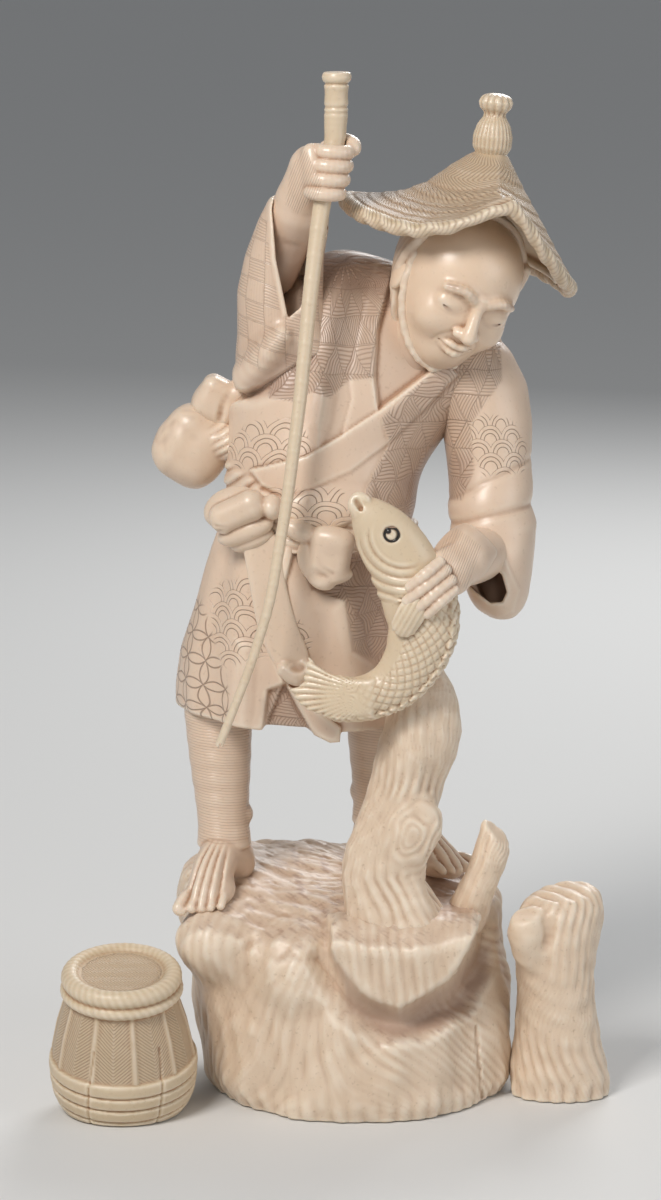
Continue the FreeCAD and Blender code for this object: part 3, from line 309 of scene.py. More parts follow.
def piece(node, look, field, low, high, pitch=0.5, extra=None):
    """Meshes a field, gives it attributes and a look from MAT, and puts it in the place of a CAD node."""
    points, quads = mesh_of(field, low, high, pitch)
    mesh = bpy.data.meshes.new(node + "_form")
    mesh.vertices.add(len(points))
    mesh.vertices.foreach_set("co", (points * MM).astype(np.float32).ravel())
    mesh.loops.add(4 * len(quads))
    mesh.loops.foreach_set("vertex_index", quads.astype(np.int32).ravel())
    mesh.polygons.add(len(quads))
    mesh.polygons.foreach_set("loop_start", np.arange(0, 4 * len(quads), 4, dtype=np.int32))
    mesh.polygons.foreach_set("use_smooth", np.ones(len(quads), bool))
    mesh.update(calc_edges=True)
    mesh.validate()
    normals = np.zeros(3 * len(points), np.float32)
    mesh.vertex_normals.foreach_get("vector", normals)
    normals = normals.reshape(-1, 3)
    values = {"hollow": crevices(points, normals, quads)}
    if extra is not None:
        values.update(extra(points, normals))
    for name, value in values.items():
        value = np.asarray(value, np.float32)
        if value.ndim == 1:
            mesh.attributes.new(name, "FLOAT", "POINT").data.foreach_set("value", value)
        else:
            mesh.attributes.new(name, "FLOAT_VECTOR", "POINT").data.foreach_set("vector", value.ravel())
    made = bpy.data.objects.new(node + "_carved", mesh)
    bpy.context.scene.collection.objects.link(made)
    mesh.materials.append(MAT[look])
    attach(made, BODY.get(node, "root"))
    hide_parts(node)
    print("piece", node, len(quads))


class Value:
    """A socket of a shader network, with arithmetic that adds Math nodes."""

    def __init__(self, tree, socket):
        self.tree = tree
        self.socket = socket

    def run(self, kind, *others):
        node = self.tree.nodes.new("ShaderNodeMath")
        node.operation = kind
        for place, item in enumerate((self,) + others):
            if isinstance(item, Value):
                self.tree.links.new(item.socket, node.inputs[place])
            else:
                node.inputs[place].default_value = item
        return Value(self.tree, node.outputs[0])

    def turn_over(self):
        return (self * -1.0) + 1.0

    def line(self, width):
        """1 on the line where this value is 0, fading over the width."""
        return (self.size() / width).turn_over().high(0.0)

    def pick(self, yes, no):
        return no + (yes - no) * self


MATH = {"__add__": "ADD", "__sub__": "SUBTRACT", "__mul__": "MULTIPLY", "__truediv__": "DIVIDE",
        "low": "MINIMUM", "high": "MAXIMUM", "fold": "PINGPONG", "under": "LESS_THAN",
        "size": "ABSOLUTE", "floor": "FLOOR", "part": "FRACT", "root": "SQRT"}
for label, kind in MATH.items():
    setattr(Value, label, partialmethod(Value.run, kind))


def seigaiha(u, v, wide):
    """Waves: arcs in rows, each row in front of the one above."""
    rise = wide / 2
    reach = wide * 0.56
    row = (v / rise).floor()
    found = None
    for shift in (1, 0, -1):
        here = row + float(shift)
        du = (u + here.run("MODULO", 2.0) * (wide / 2)).fold(wide / 2)
        dv = v - here * rise
        gap = (du * du + dv * dv).root()
        found = gap if found is None else gap.under(reach).pick(gap, found)
    rings = ((found / reach).turn_over() / 0.27 + 0.5).part() - 0.5
    keep = (found / reach).under(0.38).turn_over()
    return rings.line(0.14) * keep


def shippo(u, v, wide):
    """Circles that overlap by a quarter."""
    x, y = u.fold(wide / 2), v.fold(wide / 2)
    reach = wide * 0.7071
    found = None
    for cx, cy in ((0.0, 0.0), (wide, 0.0), (0.0, wide)):
        dx, dy = x - cx, y - cy
        gap = ((dx * dx + dy * dy).root() - reach).size()
        found = gap if found is None else found.low(gap)
    return found.line(0.32)


def leaf_hatch(u, v, wide, pitch):
    """Triangles in stars, each hatched along one of its sides."""
    a = v / wide
    b = (u * 0.866 + v * 0.5) / wide
    c = (u * 0.866 - v * 0.5) / wide
    edges = ((a.part() - 0.5).size().turn_over() - 0.5).low((b.part() - 0.5).size().turn_over() - 0.5)
    edges = edges.low((c.part() - 0.5).size().turn_over() - 0.5)
    kind = (b.floor() + c.floor() * 2.0 + a.floor()).run("MODULO", 3.0).size()
    run = kind.under(0.5).pick(a, kind.under(1.5).pick(b, c))
    strokes = ((run * (wide / pitch)).part() - 0.5).size() * 2.0
    return (edges * wide).line(0.22), strokes.line(0.55)


def weave(u, v, wide, pitch):
    """Squares hatched across and along by turns, with a thin lattice between."""
    x, y = u / wide, v / wide
    odd = (x.floor() + y.floor()).run("MODULO", 2.0).size()
    run = odd.under(0.5).pick(u, v)
    strokes = ((run / pitch).part() - 0.5).size() * 2.0
    edges = ((x.part() - 0.5).size().turn_over() - 0.5).low((y.part() - 0.5).size().turn_over() - 0.5)
    return (edges * wide).line(0.2), strokes.line(0.6) * (odd.under(0.5).turn_over() * 0.8 + 0.2)


# Colours of old ivory: pores, grain, stain and painted shade in hollows, wear and a painted highlight on
# crests, stain and painted shade set per piece, hatching and engraved lines
PORE = (0.34, 0.22, 0.12)
GRAIN = (0.52, 0.34, 0.21)
CREVICE_STAIN_AND_SHADE = (0.36, 0.185, 0.095)
CREST_WEAR_AND_SHEEN = (0.90, 0.80, 0.66)
STAIN_AND_SHADE_COLOUR = (0.385, 0.25, 0.185)
HATCH = (0.255, 0.145, 0.09)
LINE = (0.17, 0.085, 0.045)
SURFACE = {"Subsurface Weight": 0.12, "Subsurface Radius": (1.0, 0.62, 0.38), "Subsurface Scale": 0.0016,
           "IOR": 1.54, "Coat Weight": 0.12, "Coat Roughness": 0.25}


def ivory(name, pale, warm, marks=None, gloss=0.38, mottle=0.35, grain=None, crevice_darkening=1.9):
    """Polished ivory: a mottled ground, stain and painted shade in the hollows, wear and a painted
    highlight on crests, and engraved marks rubbed with stain.
    """
    made = bpy.data.materials.new(name)
    made.use_nodes = True
    tree = made.node_tree
    nodes, links = tree.nodes, tree.links
    shader = nodes["Principled BSDF"]

    def attribute(label, vector=False):
        node = nodes.new("ShaderNodeAttribute")
        node.attribute_name = label
        if not vector:
            return Value(tree, node.outputs["Fac"])
        parts = nodes.new("ShaderNodeSeparateXYZ")
        links.new(node.outputs["Vector"], parts.inputs[0])
        return tuple(Value(tree, parts.outputs[i]) for i in range(3))

    where = nodes.new("ShaderNodeTexCoord").outputs["Object"]

    def noise(scale, detail=3.0, stretch=None):
        node = nodes.new("ShaderNodeTexNoise")
        node.inputs["Scale"].default_value = scale
        node.inputs["Detail"].default_value = detail
        source = where
        if stretch is not None:
            mapping = nodes.new("ShaderNodeMapping")
            mapping.inputs["Scale"].default_value = stretch
            links.new(where, mapping.inputs["Vector"])
            source = mapping.outputs[0]
        links.new(source, node.inputs["Vector"])
        return Value(tree, node.outputs["Fac"])

    def mixed(amount, first, second):
        node = nodes.new("ShaderNodeMix")
        node.data_type = "RGBA"
        node.clamp_factor = True
        links.new(amount.socket, node.inputs[0])
        for place, item in ((6, first), (7, second)):
            if isinstance(item, tuple):
                node.inputs[place].default_value = (*item, 1)
            else:
                links.new(item, node.inputs[place])
        return node.outputs[2]

    hollow = attribute("hollow")
    broad = (noise(55.0) - 0.5) * 2.4 * mottle + 0.5
    colour = mixed(broad, pale, warm)
    speck = ((noise(900.0, 2.0) - 0.62) * 5.0).high(0.0) * mottle
    colour = mixed(speck.low(0.5), colour, PORE)
    streak = noise(40.0, 4.0, grain or (6.0, 6.0, 1.0))
    colour = mixed(((streak - 0.52) * 1.3 * mottle).high(0.0), colour, GRAIN)
    # painted shade: crevices darken towards brown, together with the stain that gathers in them
    colour = mixed((hollow * crevice_darkening - 0.02).high(0.0).low(0.45 * crevice_darkening), colour, CREVICE_STAIN_AND_SHADE)
    # painted highlight: crests lighten, together with the wear of rubbing
    colour = mixed((hollow * -1.6 - 0.08).high(0.0).low(0.5), colour, CREST_WEAR_AND_SHEEN)
    height = (streak * 0.25) + (noise(420.0) * 0.18)
    if marks is not None:
        lines, strokes, stain_and_shade_mix = marks(attribute, noise)
        # real stain in some places and painted shade in others, as each piece sets it
        colour = mixed(stain_and_shade_mix.low(0.8), colour, STAIN_AND_SHADE_COLOUR)
        colour = mixed((strokes * 0.55).low(0.8), colour, HATCH)
        colour = mixed((lines * 0.75).low(0.9), colour, LINE)
        height = height - strokes * 0.8 - lines * 1.3
    bump = nodes.new("ShaderNodeBump")
    bump.inputs["Strength"].default_value = 0.9
    bump.inputs["Distance"].default_value = 0.00016
    links.new(height.socket, bump.inputs["Height"])
    links.new(bump.outputs[0], shader.inputs["Normal"])
    links.new(colour, shader.inputs["Base Color"])
    rough = (noise(160.0) * 0.16) + (gloss - 0.08) + (hollow * 0.5).high(0.0)
    links.new(rough.socket, shader.inputs["Roughness"])
    for label, value in SURFACE.items():
        shader.inputs[label].default_value = value
    return made


def robe_marks(attribute, noise):
    u, v, _ = attribute("wrap", True)
    leaf, arcs, rings = attribute("zone", True)
    stain = attribute("stain")
    wobble = (noise(120.0, 1.0) - 0.5) * 2.2
    sway = (noise(95.0, 1.0) - 0.5) * 1.8
    u, v = u + wobble, v + sway
    edge, strokes = leaf_hatch(u + wobble * 1.4, v + sway * 1.4, 7.2, 0.92)
    waves = seigaiha(u, v, 8.4)
    loops = shippo(u, v, 6.6)
    lines = (edge * leaf * 0.4).high(waves * arcs).high(loops * rings)
    return lines, strokes * leaf, (stain + leaf * 0.25)


def sleeve_marks(attribute, noise):
    u, v, _ = attribute("wrap", True)
    net, arcs, leaf = attribute("zone", True)
    stain = attribute("stain")
    wobble = (noise(90.0, 1.0) - 0.5) * 1.2
    u, v = u + wobble, v + wobble
    edge, strokes = weave(u, v, 5.6, 0.8)
    leafy, leaf_strokes = leaf_hatch(u + wobble * 2.0, v + wobble * 1.6, 7.2, 0.92)
    waves = seigaiha(u, v, 7.6)
    lines = (edge * net * 0.45).high(waves * arcs).high(leafy * leaf * 0.55)
    return lines, (strokes * net * 0.7).high(leaf_strokes * leaf), stain + leaf * 0.25 + net * 0.10


def band_marks(attribute, noise):
    """Fine rings along the wrap where the mask says, such as gaiters and cuffs."""
    u, v, _ = attribute("wrap", True)
    mask, cross, _ = attribute("zone", True)
    wobble = (noise(300.0, 1.0) - 0.5) * 0.25
    rings = (((v + wobble) / 0.8).part() - 0.5).size() * 2.0
    slant = (((u + v * 0.4) / 0.7).part() - 0.5).size() * 2.0
    strokes = (rings.line(0.4) * mask * 0.6).high(slant.line(0.5) * cross * 0.7)
    return mask * 0.0, strokes, attribute("stain")


def plait_marks(attribute, noise):
    """Straw in rows: slanted strokes that turn over from row to row."""
    u, v, _ = attribute("wrap", True)
    rows, ticks, _ = attribute("zone", True)
    lean = v.fold(2.6)
    strokes = (((u + lean * 0.9) / 0.95).part() - 0.5).size() * 2.0
    bars = (((u + (noise(200.0, 1.0) - 0.5)) / 1.5).part() - 0.5).size() * 2.0
    return bars.line(0.3) * ticks * 0.7, strokes.line(0.6) * rows, attribute("stain")


def plain_marks(attribute, noise):
    stain = attribute("stain")
    return stain * 0.0, stain * 0.0, stain


CREAM = ((0.74, 0.575, 0.40), (0.66, 0.475, 0.30))
PINK = ((0.77, 0.615, 0.48), (0.70, 0.515, 0.38))
STRAW = ((0.655, 0.53, 0.36), (0.56, 0.43, 0.275))
MAT = {
    "stump": ivory("ivory_stump", (0.775, 0.635, 0.49), (0.68, 0.515, 0.37), plain_marks, 0.47, 0.5,
                   (9, 9, 0.9), 0.95),
    "skin": ivory("ivory_skin", *PINK, band_marks, 0.32, 0.22),
    "face": ivory("ivory_face", (0.80, 0.64, 0.49), (0.74, 0.545, 0.39), plain_marks, 0.31, 0.15),
    "robe": ivory("ivory_robe", *PINK, robe_marks, 0.38, 0.3),
    "sleeve": ivory("ivory_sleeve", *PINK, sleeve_marks, 0.38, 0.3),
    "fold": ivory("ivory_fold", (0.77, 0.62, 0.485), (0.70, 0.53, 0.385), plain_marks, 0.35, 0.3),
    "straw": ivory("ivory_straw", *STRAW, plait_marks, 0.5, 0.45),
    "rod": ivory("ivory_rod", (0.70, 0.575, 0.42), (0.62, 0.485, 0.325), plain_marks, 0.34, 0.4,
                 (3, 3, 0.5)),
    "fish": ivory("ivory_fish", (0.72, 0.595, 0.43), (0.65, 0.51, 0.345), plain_marks, 0.33, 0.35),
    "dowel": ivory("ivory_dowel", *CREAM, None, 0.45, 0.3),
}


def eye_material():
    made = bpy.data.materials.new("dark_inlay")
    made.use_nodes = True
    tree = made.node_tree
    shader = tree.nodes["Principled BSDF"]
    noise = tree.nodes.new("ShaderNodeTexNoise")
    noise.inputs["Scale"].default_value = 900
    ramp = tree.nodes.new("ShaderNodeValToRGB")
    ramp.color_ramp.elements[0].color = (0.006, 0.005, 0.005, 1)
    ramp.color_ramp.elements[1].color = (0.035, 0.028, 0.024, 1)
    tree.links.new(noise.outputs["Fac"], ramp.inputs[0])
    tree.links.new(ramp.outputs[0], shader.inputs["Base Color"])
    shader.inputs["Roughness"].default_value = 0.22
    return made


MAT["eye"] = eye_material()


def spin(y_turn, z_turn=0.0):
    """Axes turned about y and then about z, in degrees."""
    a, b = math.radians(y_turn), math.radians(z_turn)
    first = np.array(((math.cos(a), 0, math.sin(a)), (0, 1, 0), (-math.sin(a), 0, math.cos(a))))
    second = np.array(((math.cos(b), -math.sin(b), 0), (math.sin(b), math.cos(b), 0), (0, 0, 1)))
    return second @ first


def nod(x_turn):
    """Axes turned about x, in degrees."""
    a = math.radians(x_turn)
    return np.array(((1, 0, 0), (0, math.cos(a), -math.sin(a)), (0, math.sin(a), math.cos(a))))


def wrap_round(p, cx, cy, reach):
    """Girth and height of points round an upright axis."""
    x, y, z = p.T
    turn = np.arctan2(x - cx, -(y - cy))
    return np.stack([turn * reach, z, np.zeros(len(p))], 1)


def zones(p, *masks):
    return np.stack([np.asarray(mask, float) * np.ones(len(p)) for mask in masks], 1)


def plain_extra(amount=0.0):
    """For a piece with the same stain all over."""
    return lambda p, n: {"stain": np.full(len(p), amount)}


def flat_wrap(p):
    """The photo's frame as engraving coordinates, in mm."""
    px, py = photo(p)
    return np.stack([px * PIXEL, py * PIXEL, 0 * px], 1)


# Stump base: a section of tusk carved as a root, with an overhanging lip at the right front
BASE_ROWS = [(-4, 4.0, -4.4, 39.6, 38.6), (0, 4.0, -4.4, 40.2, 39.2), (4, 3.8, -4.3, 42.4, 40.8),
             (14, 2.5, -3.5, 43.4, 41.0), (28, 0.8, -2.4, 44.1, 40.4), (42, -0.8, -1.5, 44.6, 39.8),
             (52, -1.4, -0.8, 44.6, 39.4), (68, -1.4, -0.6, 43.6, 38.6)]
GROUND_X = (-51.6, -31.8, -13.8, 4.3, 23.2, 51.6)
GROUND_Y = (-48.6, -26.7, -9.7, 6.5, 21.9, 48.6)
GROUND_Z = ((47.6, 48.2, 48.8, 48.4, 47.0, 44.8), (51.6, 52.2, 51.6, 51.4, 51.0, 48.2),
            (57.6, 58.0, 55.6, 53.8, 52.4, 50.4), (60.2, 62.0, 58.4, 56.2, 56.0, 52.6),
            (59.4, 61.4, 59.6, 58.0, 58.6, 55.4), (55, 57, 57.6, 57, 57.6, 53.8))


def base_top(x, y):
    grid = np.array(GROUND_Z)
    u = np.interp(x, GROUND_X, range(6))
    v = np.interp(y, GROUND_Y, range(6))
    i, j = np.minimum(u.astype(int), 4), np.minimum(v.astype(int), 4)
    a, b = step(u - i, -0.1, 1.1), step(v - j, -0.1, 1.1)
    return ((grid[j, i] * (1 - a) + grid[j, i + 1] * a) * (1 - b)
            + (grid[j + 1, i] * (1 - a) + grid[j + 1, i + 1] * a) * b)


def base_fold(turn, z):
    bend = 0.30 * np.sin(z / 14.0 + 1.0)
    broad = 0.9 * np.cos(5 * (turn + 0.5 * bend)) + 0.6 * np.cos(9 * (turn + bend) + 1.0)
    scallop = (0.55 * wave(turn * 40, 4.4) - 0.35) * (1 - step(z, 1, 11))
    return broad * step(z, -1, 9) + scallop


LIP = [(331, 915), (331, 948), (336, 962), (361, 990), (384, 1003), (400, 1008), (425, 996), (448, 980),
       (466, 953), (478, 928), (484, 900), (420, 880)]


def base_field(p):
    x, y, z = p.T
    gap = loft(p, BASE_ROWS, base_fold)
    turn = np.arctan2(y, x)
    slant = (0.85 * step(turn, -1.7, -1.2) * (1 - step(turn, -0.5, 0.2))
             - 0.40 * (1 - step(turn, -2.0, -1.6)) * step(turn, -2.9, -2.4))
    sweep = turn * 42 + 5.0 * np.sin(z / 21.0 + turn * 1.5) + slant * (z - 24)
    gap = gap - grooved(p, sweep, z, 3.6, 0.36, 3) - 0.75 * rumple(p, 19, 41)
    px, py = photo(p)
    front = step(-y, 2, 18)
    shade = inside(px, py, [(318, 960), (345, 985), (372, 1004), (400, 1012), (440, 990), (462, 960),
                            (484, 925), (488, 965), (462, 1010), (420, 1034), (380, 1036), (342, 1014)],
                   30)
    gap = gap + 5.0 * shade * front
    dent = inside(px, py, [(222, 955), (250, 945), (262, 985), (255, 1020), (232, 1015)], 30)
    gap = gap + 1.6 * dent * front
    swell = inside(px, py, [(255, 925), (315, 930), (320, 1000), (290, 1010), (262, 985)], 30)
    gap = gap - 2.4 * swell * front
    rib = tube(p, seen((322, 1045, -38.5, 2.2), (340, 1075, -41, 2.6), (362, 1100, -42.2, 2.2),
                       (384, 1118, -41.5, 1.2)), 0.5)
    gap = smin(gap, rib, 2.0)
    ground = base_top(x, y)
    scars = (0.6 * rumple(p, 10, 21) + 0.10 * rumple(p, 4.2, 22)
             + 0.25 * step(rumple(p, 2.7, 8) + 0.5 * rumple(p, 1.8, 9), 0.45, 1.0))
    rays = np.arctan2(y - 8, x - 14) * 30
    scars = scars - grooved(p, rays, y, 3.2, 0.34, 12)
    gap = smax(gap, (z - ground - 0.8 + scars) * 0.93, 4.0 + 13.0 * step(-y, 5, 24))
    ledge = egg(p, (-36.6, -24.8, 45.8), (9.2, 9.6, 8.2))
    gap = smin(gap, ledge - 0.28 * wave(x * 0.9 - 0.4 * y, 2.7), 9.0)
    flare = (z - 48.6 - 0.85 * (y + 42.5) - 0.0045 * (x - 14) ** 2) / 1.31
    face = -y - 43.0 + 0.004 * (x - 14) ** 2 + 0.10 * (48 - z)
    lip = smax(smax(-depth_in(px, py, LIP) * PIXEL, smax(flare, face, 1.6), 1.2), y + 10, 1.0)
    lip = smax(lip, z - 55.0, 3.0)
    lip = lip - grooved(p, x + 0.12 * z, z, 2.6, 0.34, 5) - 0.25 * rumple(p, 9, 15)
    gap = smin(gap, lip, 3.4)
    crack = inside(px, py, [(474, 1025), (477, 1025), (483, 1098), (480, 1099)], 2.0) * front
    gap = gap + 0.7 * crack
    gap = gap + 0.25 * rumple(p, 7, 3)
    return smax(gap, -z, 0.6)


def base_extra(p, n):
    px, py = photo(p)
    top = step(n[:, 2], 0.45, 0.85)
    pit = step(rumple(p, 2.2, 8) + 0.5 * rumple(p, 0.9, 9), 0.25, 1.1)
    between_legs = inside(px, py, [(275, 858), (330, 850), (352, 870), (345, 925), (318, 930), (290, 890)], 22)
    brown = inside(px, py, [(425, 855), (468, 862), (470, 915), (425, 915)], 20)
    shade = inside(px, py, [(332, 954), (362, 994), (396, 1012), (448, 984), (474, 952), (490, 945),
                            (486, 985), (440, 1028), (392, 1038), (350, 1012)], 13)
    # painted shade: upward faces darker, most in the pits and between the legs; a darker patch by the
    # stub; painted shade under the lip
    return {"stain": np.clip(top * (0.26 + pit * (0.4 + 0.35 * between_legs)) + brown * 0.5 * top
                             + shade * 0.6 * (p[:, 1] < 0), 0, 0.8)}


piece("stump_base", "stump", base_field, (-50, -48, -2), (51, 42, 66), 0.6, base_extra)

# Leaning trunk with a knot and a flared root
TRUNK_ROWS = seen((402, 956, -23.5, 16.5), (397, 930, -24, 14.0), (385, 900, -24.5, 11.5),
                  (381, 865, -25, 10.2), (393, 830, -25, 9.7), (404, 795, -25, 9.3),
                  (411, 765, -25.5, 9.6), (421, 735, -26, 10.0), (425, 710, -26, 9.0),
                  (424, 690, -26, 7.2), (424, 678, -26, 5.2))


def trunk_field(p):
    gap = tube(p, TRUNK_ROWS, 1.0, 3)
    turn = np.arctan2(p[:, 0] - np.interp(p[:, 2], (45, 66, 91, 116), (16, 11, 17, 21)), -(p[:, 1] + 25))
    sway = 0.25 * np.sin(p[:, 2] / 9)
    px, py = photo(p)
    smooth = inside(px, py, [(385, 800), (440, 796), (448, 835), (430, 870), (395, 870), (380, 835)], 16)
    gap = (gap - grooved(p, (turn + sway) * 10, p[:, 2], 3.3, 0.7, 7) * (1 - smooth)
           - 0.6 * np.cos(4 * turn + p[:, 2] / 14) + 0.3)
    knot = np.array(spot(413, 834, -33.5))
    lean = math.radians(24)
    x = (p[:, 0] - knot[0]) * math.cos(lean) - (p[:, 2] - knot[2]) * math.sin(lean)
    z = (p[:, 0] - knot[0]) * math.sin(lean) + (p[:, 2] - knot[2]) * math.cos(lean)
    ring = np.sqrt((x / 0.55) ** 2 + z ** 2) + 1.6 * rumple(p, 7, 31)
    boss = egg(p, knot + (0, 1.6, 0), (7.6, 4.8, 10.8), spin(24))
    boss = boss + 0.45 * (1 - wave(ring, 3.4)) * step(-p[:, 1], 27, 32) * step(ring, 1.5, 4.0)
    gap = smin(gap, boss, 3.4)
    root = tube(p, seen((412, 868, -30, 2.4), (416, 900, -31.5, 2.6), (420, 935, -32, 3.4)), 0.8)
    gap = smin(gap, root, 5.5)
    return gap + 0.2 * rumple(p, 6, 5)


piece("leaning_trunk", "stump", trunk_field,
      (-8, -44, 38), (38, -6, 126), 0.5, plain_extra())


def stub_field(p):
    x, z = p[:, 0], p[:, 2]
    rows = seen((463, 922, -15, 5.2), (468, 911, -17.5, 5.3), (474, 895, -20, 4.9), (484, 872, -20, 4.6),
                (492, 850, -20, 4.5), (492, 836, -20, 3.3), (489, 826, -20, 2.0))
    gap = tube(p, rows, 0.8)
    gap = gap - grooved(p, x * 0.95 - z * 0.3, z, 3.0, 0.5 + 0.5 * step(z, 62, 70), 9)
    cut = (p - np.array(spot(500, 832, -20))) @ np.array((0.62, -0.35, 0.70))
    return smax(gap, cut, 0.6) + 0.15 * rumple(p, 5, 2)


piece("branch_stub", "stump", stub_field, (22, -30, 38), (50, -11, 82), 0.4, plain_extra())


# Legs in ringed gaiters, with bare feet; each toe has a place across, a reach and a radius
TOES = ((-2.1, 4.2, 1.3), (-1.2, 5.4, 1.35), (-0.3, 6.2, 1.4), (0.62, 7.0, 1.5), (1.8, 7.8, 2.2))


def leg_field(p, knee, ankle, heel, toes, side):
    """side is +1 where the big toe lies to the viewer's right."""
    z = p[:, 2]
    knee, ankle, heel, toes = (np.array(v, float) for v in (knee, ankle, heel, toes))
    shin = tube(p, [(*knee, 9.4), (*(knee * 0.6 + ankle * 0.4), 8.4), (*(knee * 0.2 + ankle * 0.8), 6.9),
                    (*ankle, 6.7)], 1.0)
    hem = smax(shin, ankle[2] - 0.5 - z, 0.5)
    fold = tube(p, [(*(ankle + (0, 0, 1.8)), 7.2), (*(ankle + (0, 0, 0.4)), 7.5)], 0.3)
    hem = smin(hem, smax(fold, ankle[2] - 0.6 - z, 0.4), 0.8)
    knob = egg(p, ankle + (6.0 * side, 1.0, 8.0), (2.0, 2.6, 2.4))
    hem = smin(hem, knob, 1.4)
    run = toes - heel
    ahead = run / np.sqrt(run @ run)
    across = np.cross(ahead, (0, 0, 1.0))
    across /= np.sqrt(across @ across)
    foot = tube(p, [(*(ankle + (0, 0, 1)), 5.4), (*(ankle * 0.5 + heel * 0.5), 5.9), (*heel, 5.6)], 1.5)
    arch = tube(p, [(*(ankle + (0, -1, -1)), 5.1), (*(ankle * 0.45 + toes * 0.55 + (0, 0, 1.2)), 5.2),
                    (*toes, 3.4)], 1.5)
    frame_of_foot = np.stack([across, ahead, np.cross(across, ahead)], 1)
    broad = egg(p, toes - ahead * 6.4, (6.5, 7.4, 3.9), frame_of_foot)
    foot = smin(smin(foot, arch, 3.0), broad, 3.0)
    for place, reach, fat in TOES:
        place = place * side * 2.7
        start = toes + across * place * 0.84 - ahead * 4.6 + (0, 0, 0.5)
        end = toes + across * place + ahead * (reach - 3.4)
        toe = tube(p, [(*start, fat), (*(start * 0.4 + end * 0.6 + (0, 0, 0.7)), fat),
                       (*end, fat * 0.95)], 0.2)
        foot = smin(foot, toe, 0.7)
    back = -((p - toes) @ ahead)
    beside = ((p - toes) @ across) * side / (1 - 0.028 * np.clip(back, -4, 16))
    upper = step(z - toes[2] - 0.30 * back, -1.0, 1.5) * step(-back, -17, -9)
    for middle in (-4.5, -2.0, 0.4, 3.3):
        foot = foot + 0.75 * upper * np.exp(-((beside - middle) / 0.6) ** 2)
    return smin(hem, foot, 0.25)


def leg_extra(ankle_z, back=0.0):
    def extra(p, n):
        wrap = wrap_round(p, 0, 0, 9)
        wrap[:, 1] = p[:, 2] + 0.08 * p[:, 0]
        mask = step(p[:, 2], ankle_z + 1.0, ankle_z + 1.8)
        return {"stain": np.full(len(p), back), "wrap": wrap, "zone": zones(p, mask, 0, 0)}
    return extra


piece("right_leg", "skin",
      lambda p: leg_field(p, (-35.2, -1.5, 110), (-33.4, -5.0, 68.6), (-30.8, -2.5, 62.0),
                          (-39.0, -23.6, 56.4), 1),
      (-52, -46, 48), (-20, 14, 112), 0.42, leg_extra(68.6))
piece("left_leg", "skin",
      lambda p: leg_field(p, (9.5, 12.0, 110), (9.5, 12.0, 71), (8.0, 16.0, 62.5), (30.0, 0.0, 60.5), -1),
      (-6, -14, 50), (44, 28, 112), 0.5, leg_extra(71))

# Robe skirt: one wide cloth with a lap, a panel and a flap at its hem
SKIRT_ROWS = [(96, -11.2, 1.0, 34.6, 23.5), (103, -11.2, 1.0, 34.8, 23.8), (112, -11.0, 0.8, 35.2, 24.6),
              (122, -10.6, 0.4, 34.4, 25.2), (134, -9.0, -0.6, 32.2, 25.2),
              (146, -7.6, -1.4, 30.2, 24.8), (156, -7.5, -1.8, 26.8, 24.0),
              (164, -6.4, -2.0, 25.6, 23.2), (172, -6.0, -2.0, 24.0, 22.0)]
LEFT_PANEL = [(245, 520), (300, 530), (283, 590), (262, 620), (284, 683), (262, 735), (170, 720),
              (165, 600), (200, 520)]
APRON = [(290, 535), (312, 590), (345, 600), (353, 652), (372, 664), (394, 705), (394, 745), (340, 745),
         (284, 683), (262, 620)]
LAP = [(288, 545), (350, 545), (420, 560), (424, 770), (400, 770), (384, 700), (362, 656), (346, 600),
       (312, 590)]


def skirt_fold(turn, z):
    ease = 1 - step(z, 150, 168)
    return (0.9 * np.cos(6 * turn + 0.6) + 0.5 * np.cos(11 * turn + z / 20)) * ease


def skirt_field(p):
    x, y, z = p.T
    px, py = photo(p)
    front = step(-y, 6, 13)
    gap = loft(p, SKIRT_ROWS, skirt_fold)
    gap = gap - 1.1 * inside(px, py, LEFT_PANEL, 3.5) * front
    gap = gap - 0.5 * inside(px, py, APRON, 4) * front
    gap = gap + 1.7 * inside(px, py, LAP, 34) * front
    ridge = inside(px, py, [(236, 640), (252, 645), (246, 735), (222, 735)], 14) * front
    gap = gap - 0.8 * ridge
    hem = 102.2 + 0.10 * np.maximum(-11 - x, 0) + 1.0 * np.cos(x / 7.0) * 0.4 - 0.06 * y
    body = smax(gap, hem - z, 1.0)
    inner = smax(gap + 4.0, z - 122, 2.0)
    body = smax(body, -inner, 0.8)
    flap = -depth_in(px, py, [(282, 682), (298, 690), (326, 716), (341, 727), (340, 742), (330, 743),
                              (314, 735), (296, 712)]) * PIXEL
    body = smin(body, smax(flap, np.abs(y + 24.0) - 2.4, 1.2), 0.5)
    cleft = inside(px, py, [(268, 690), (285, 684), (312, 735), (262, 740)], 4) * front
    body = body + 1.3 * cleft
    return smax(body, z - 158.6, 1.0)


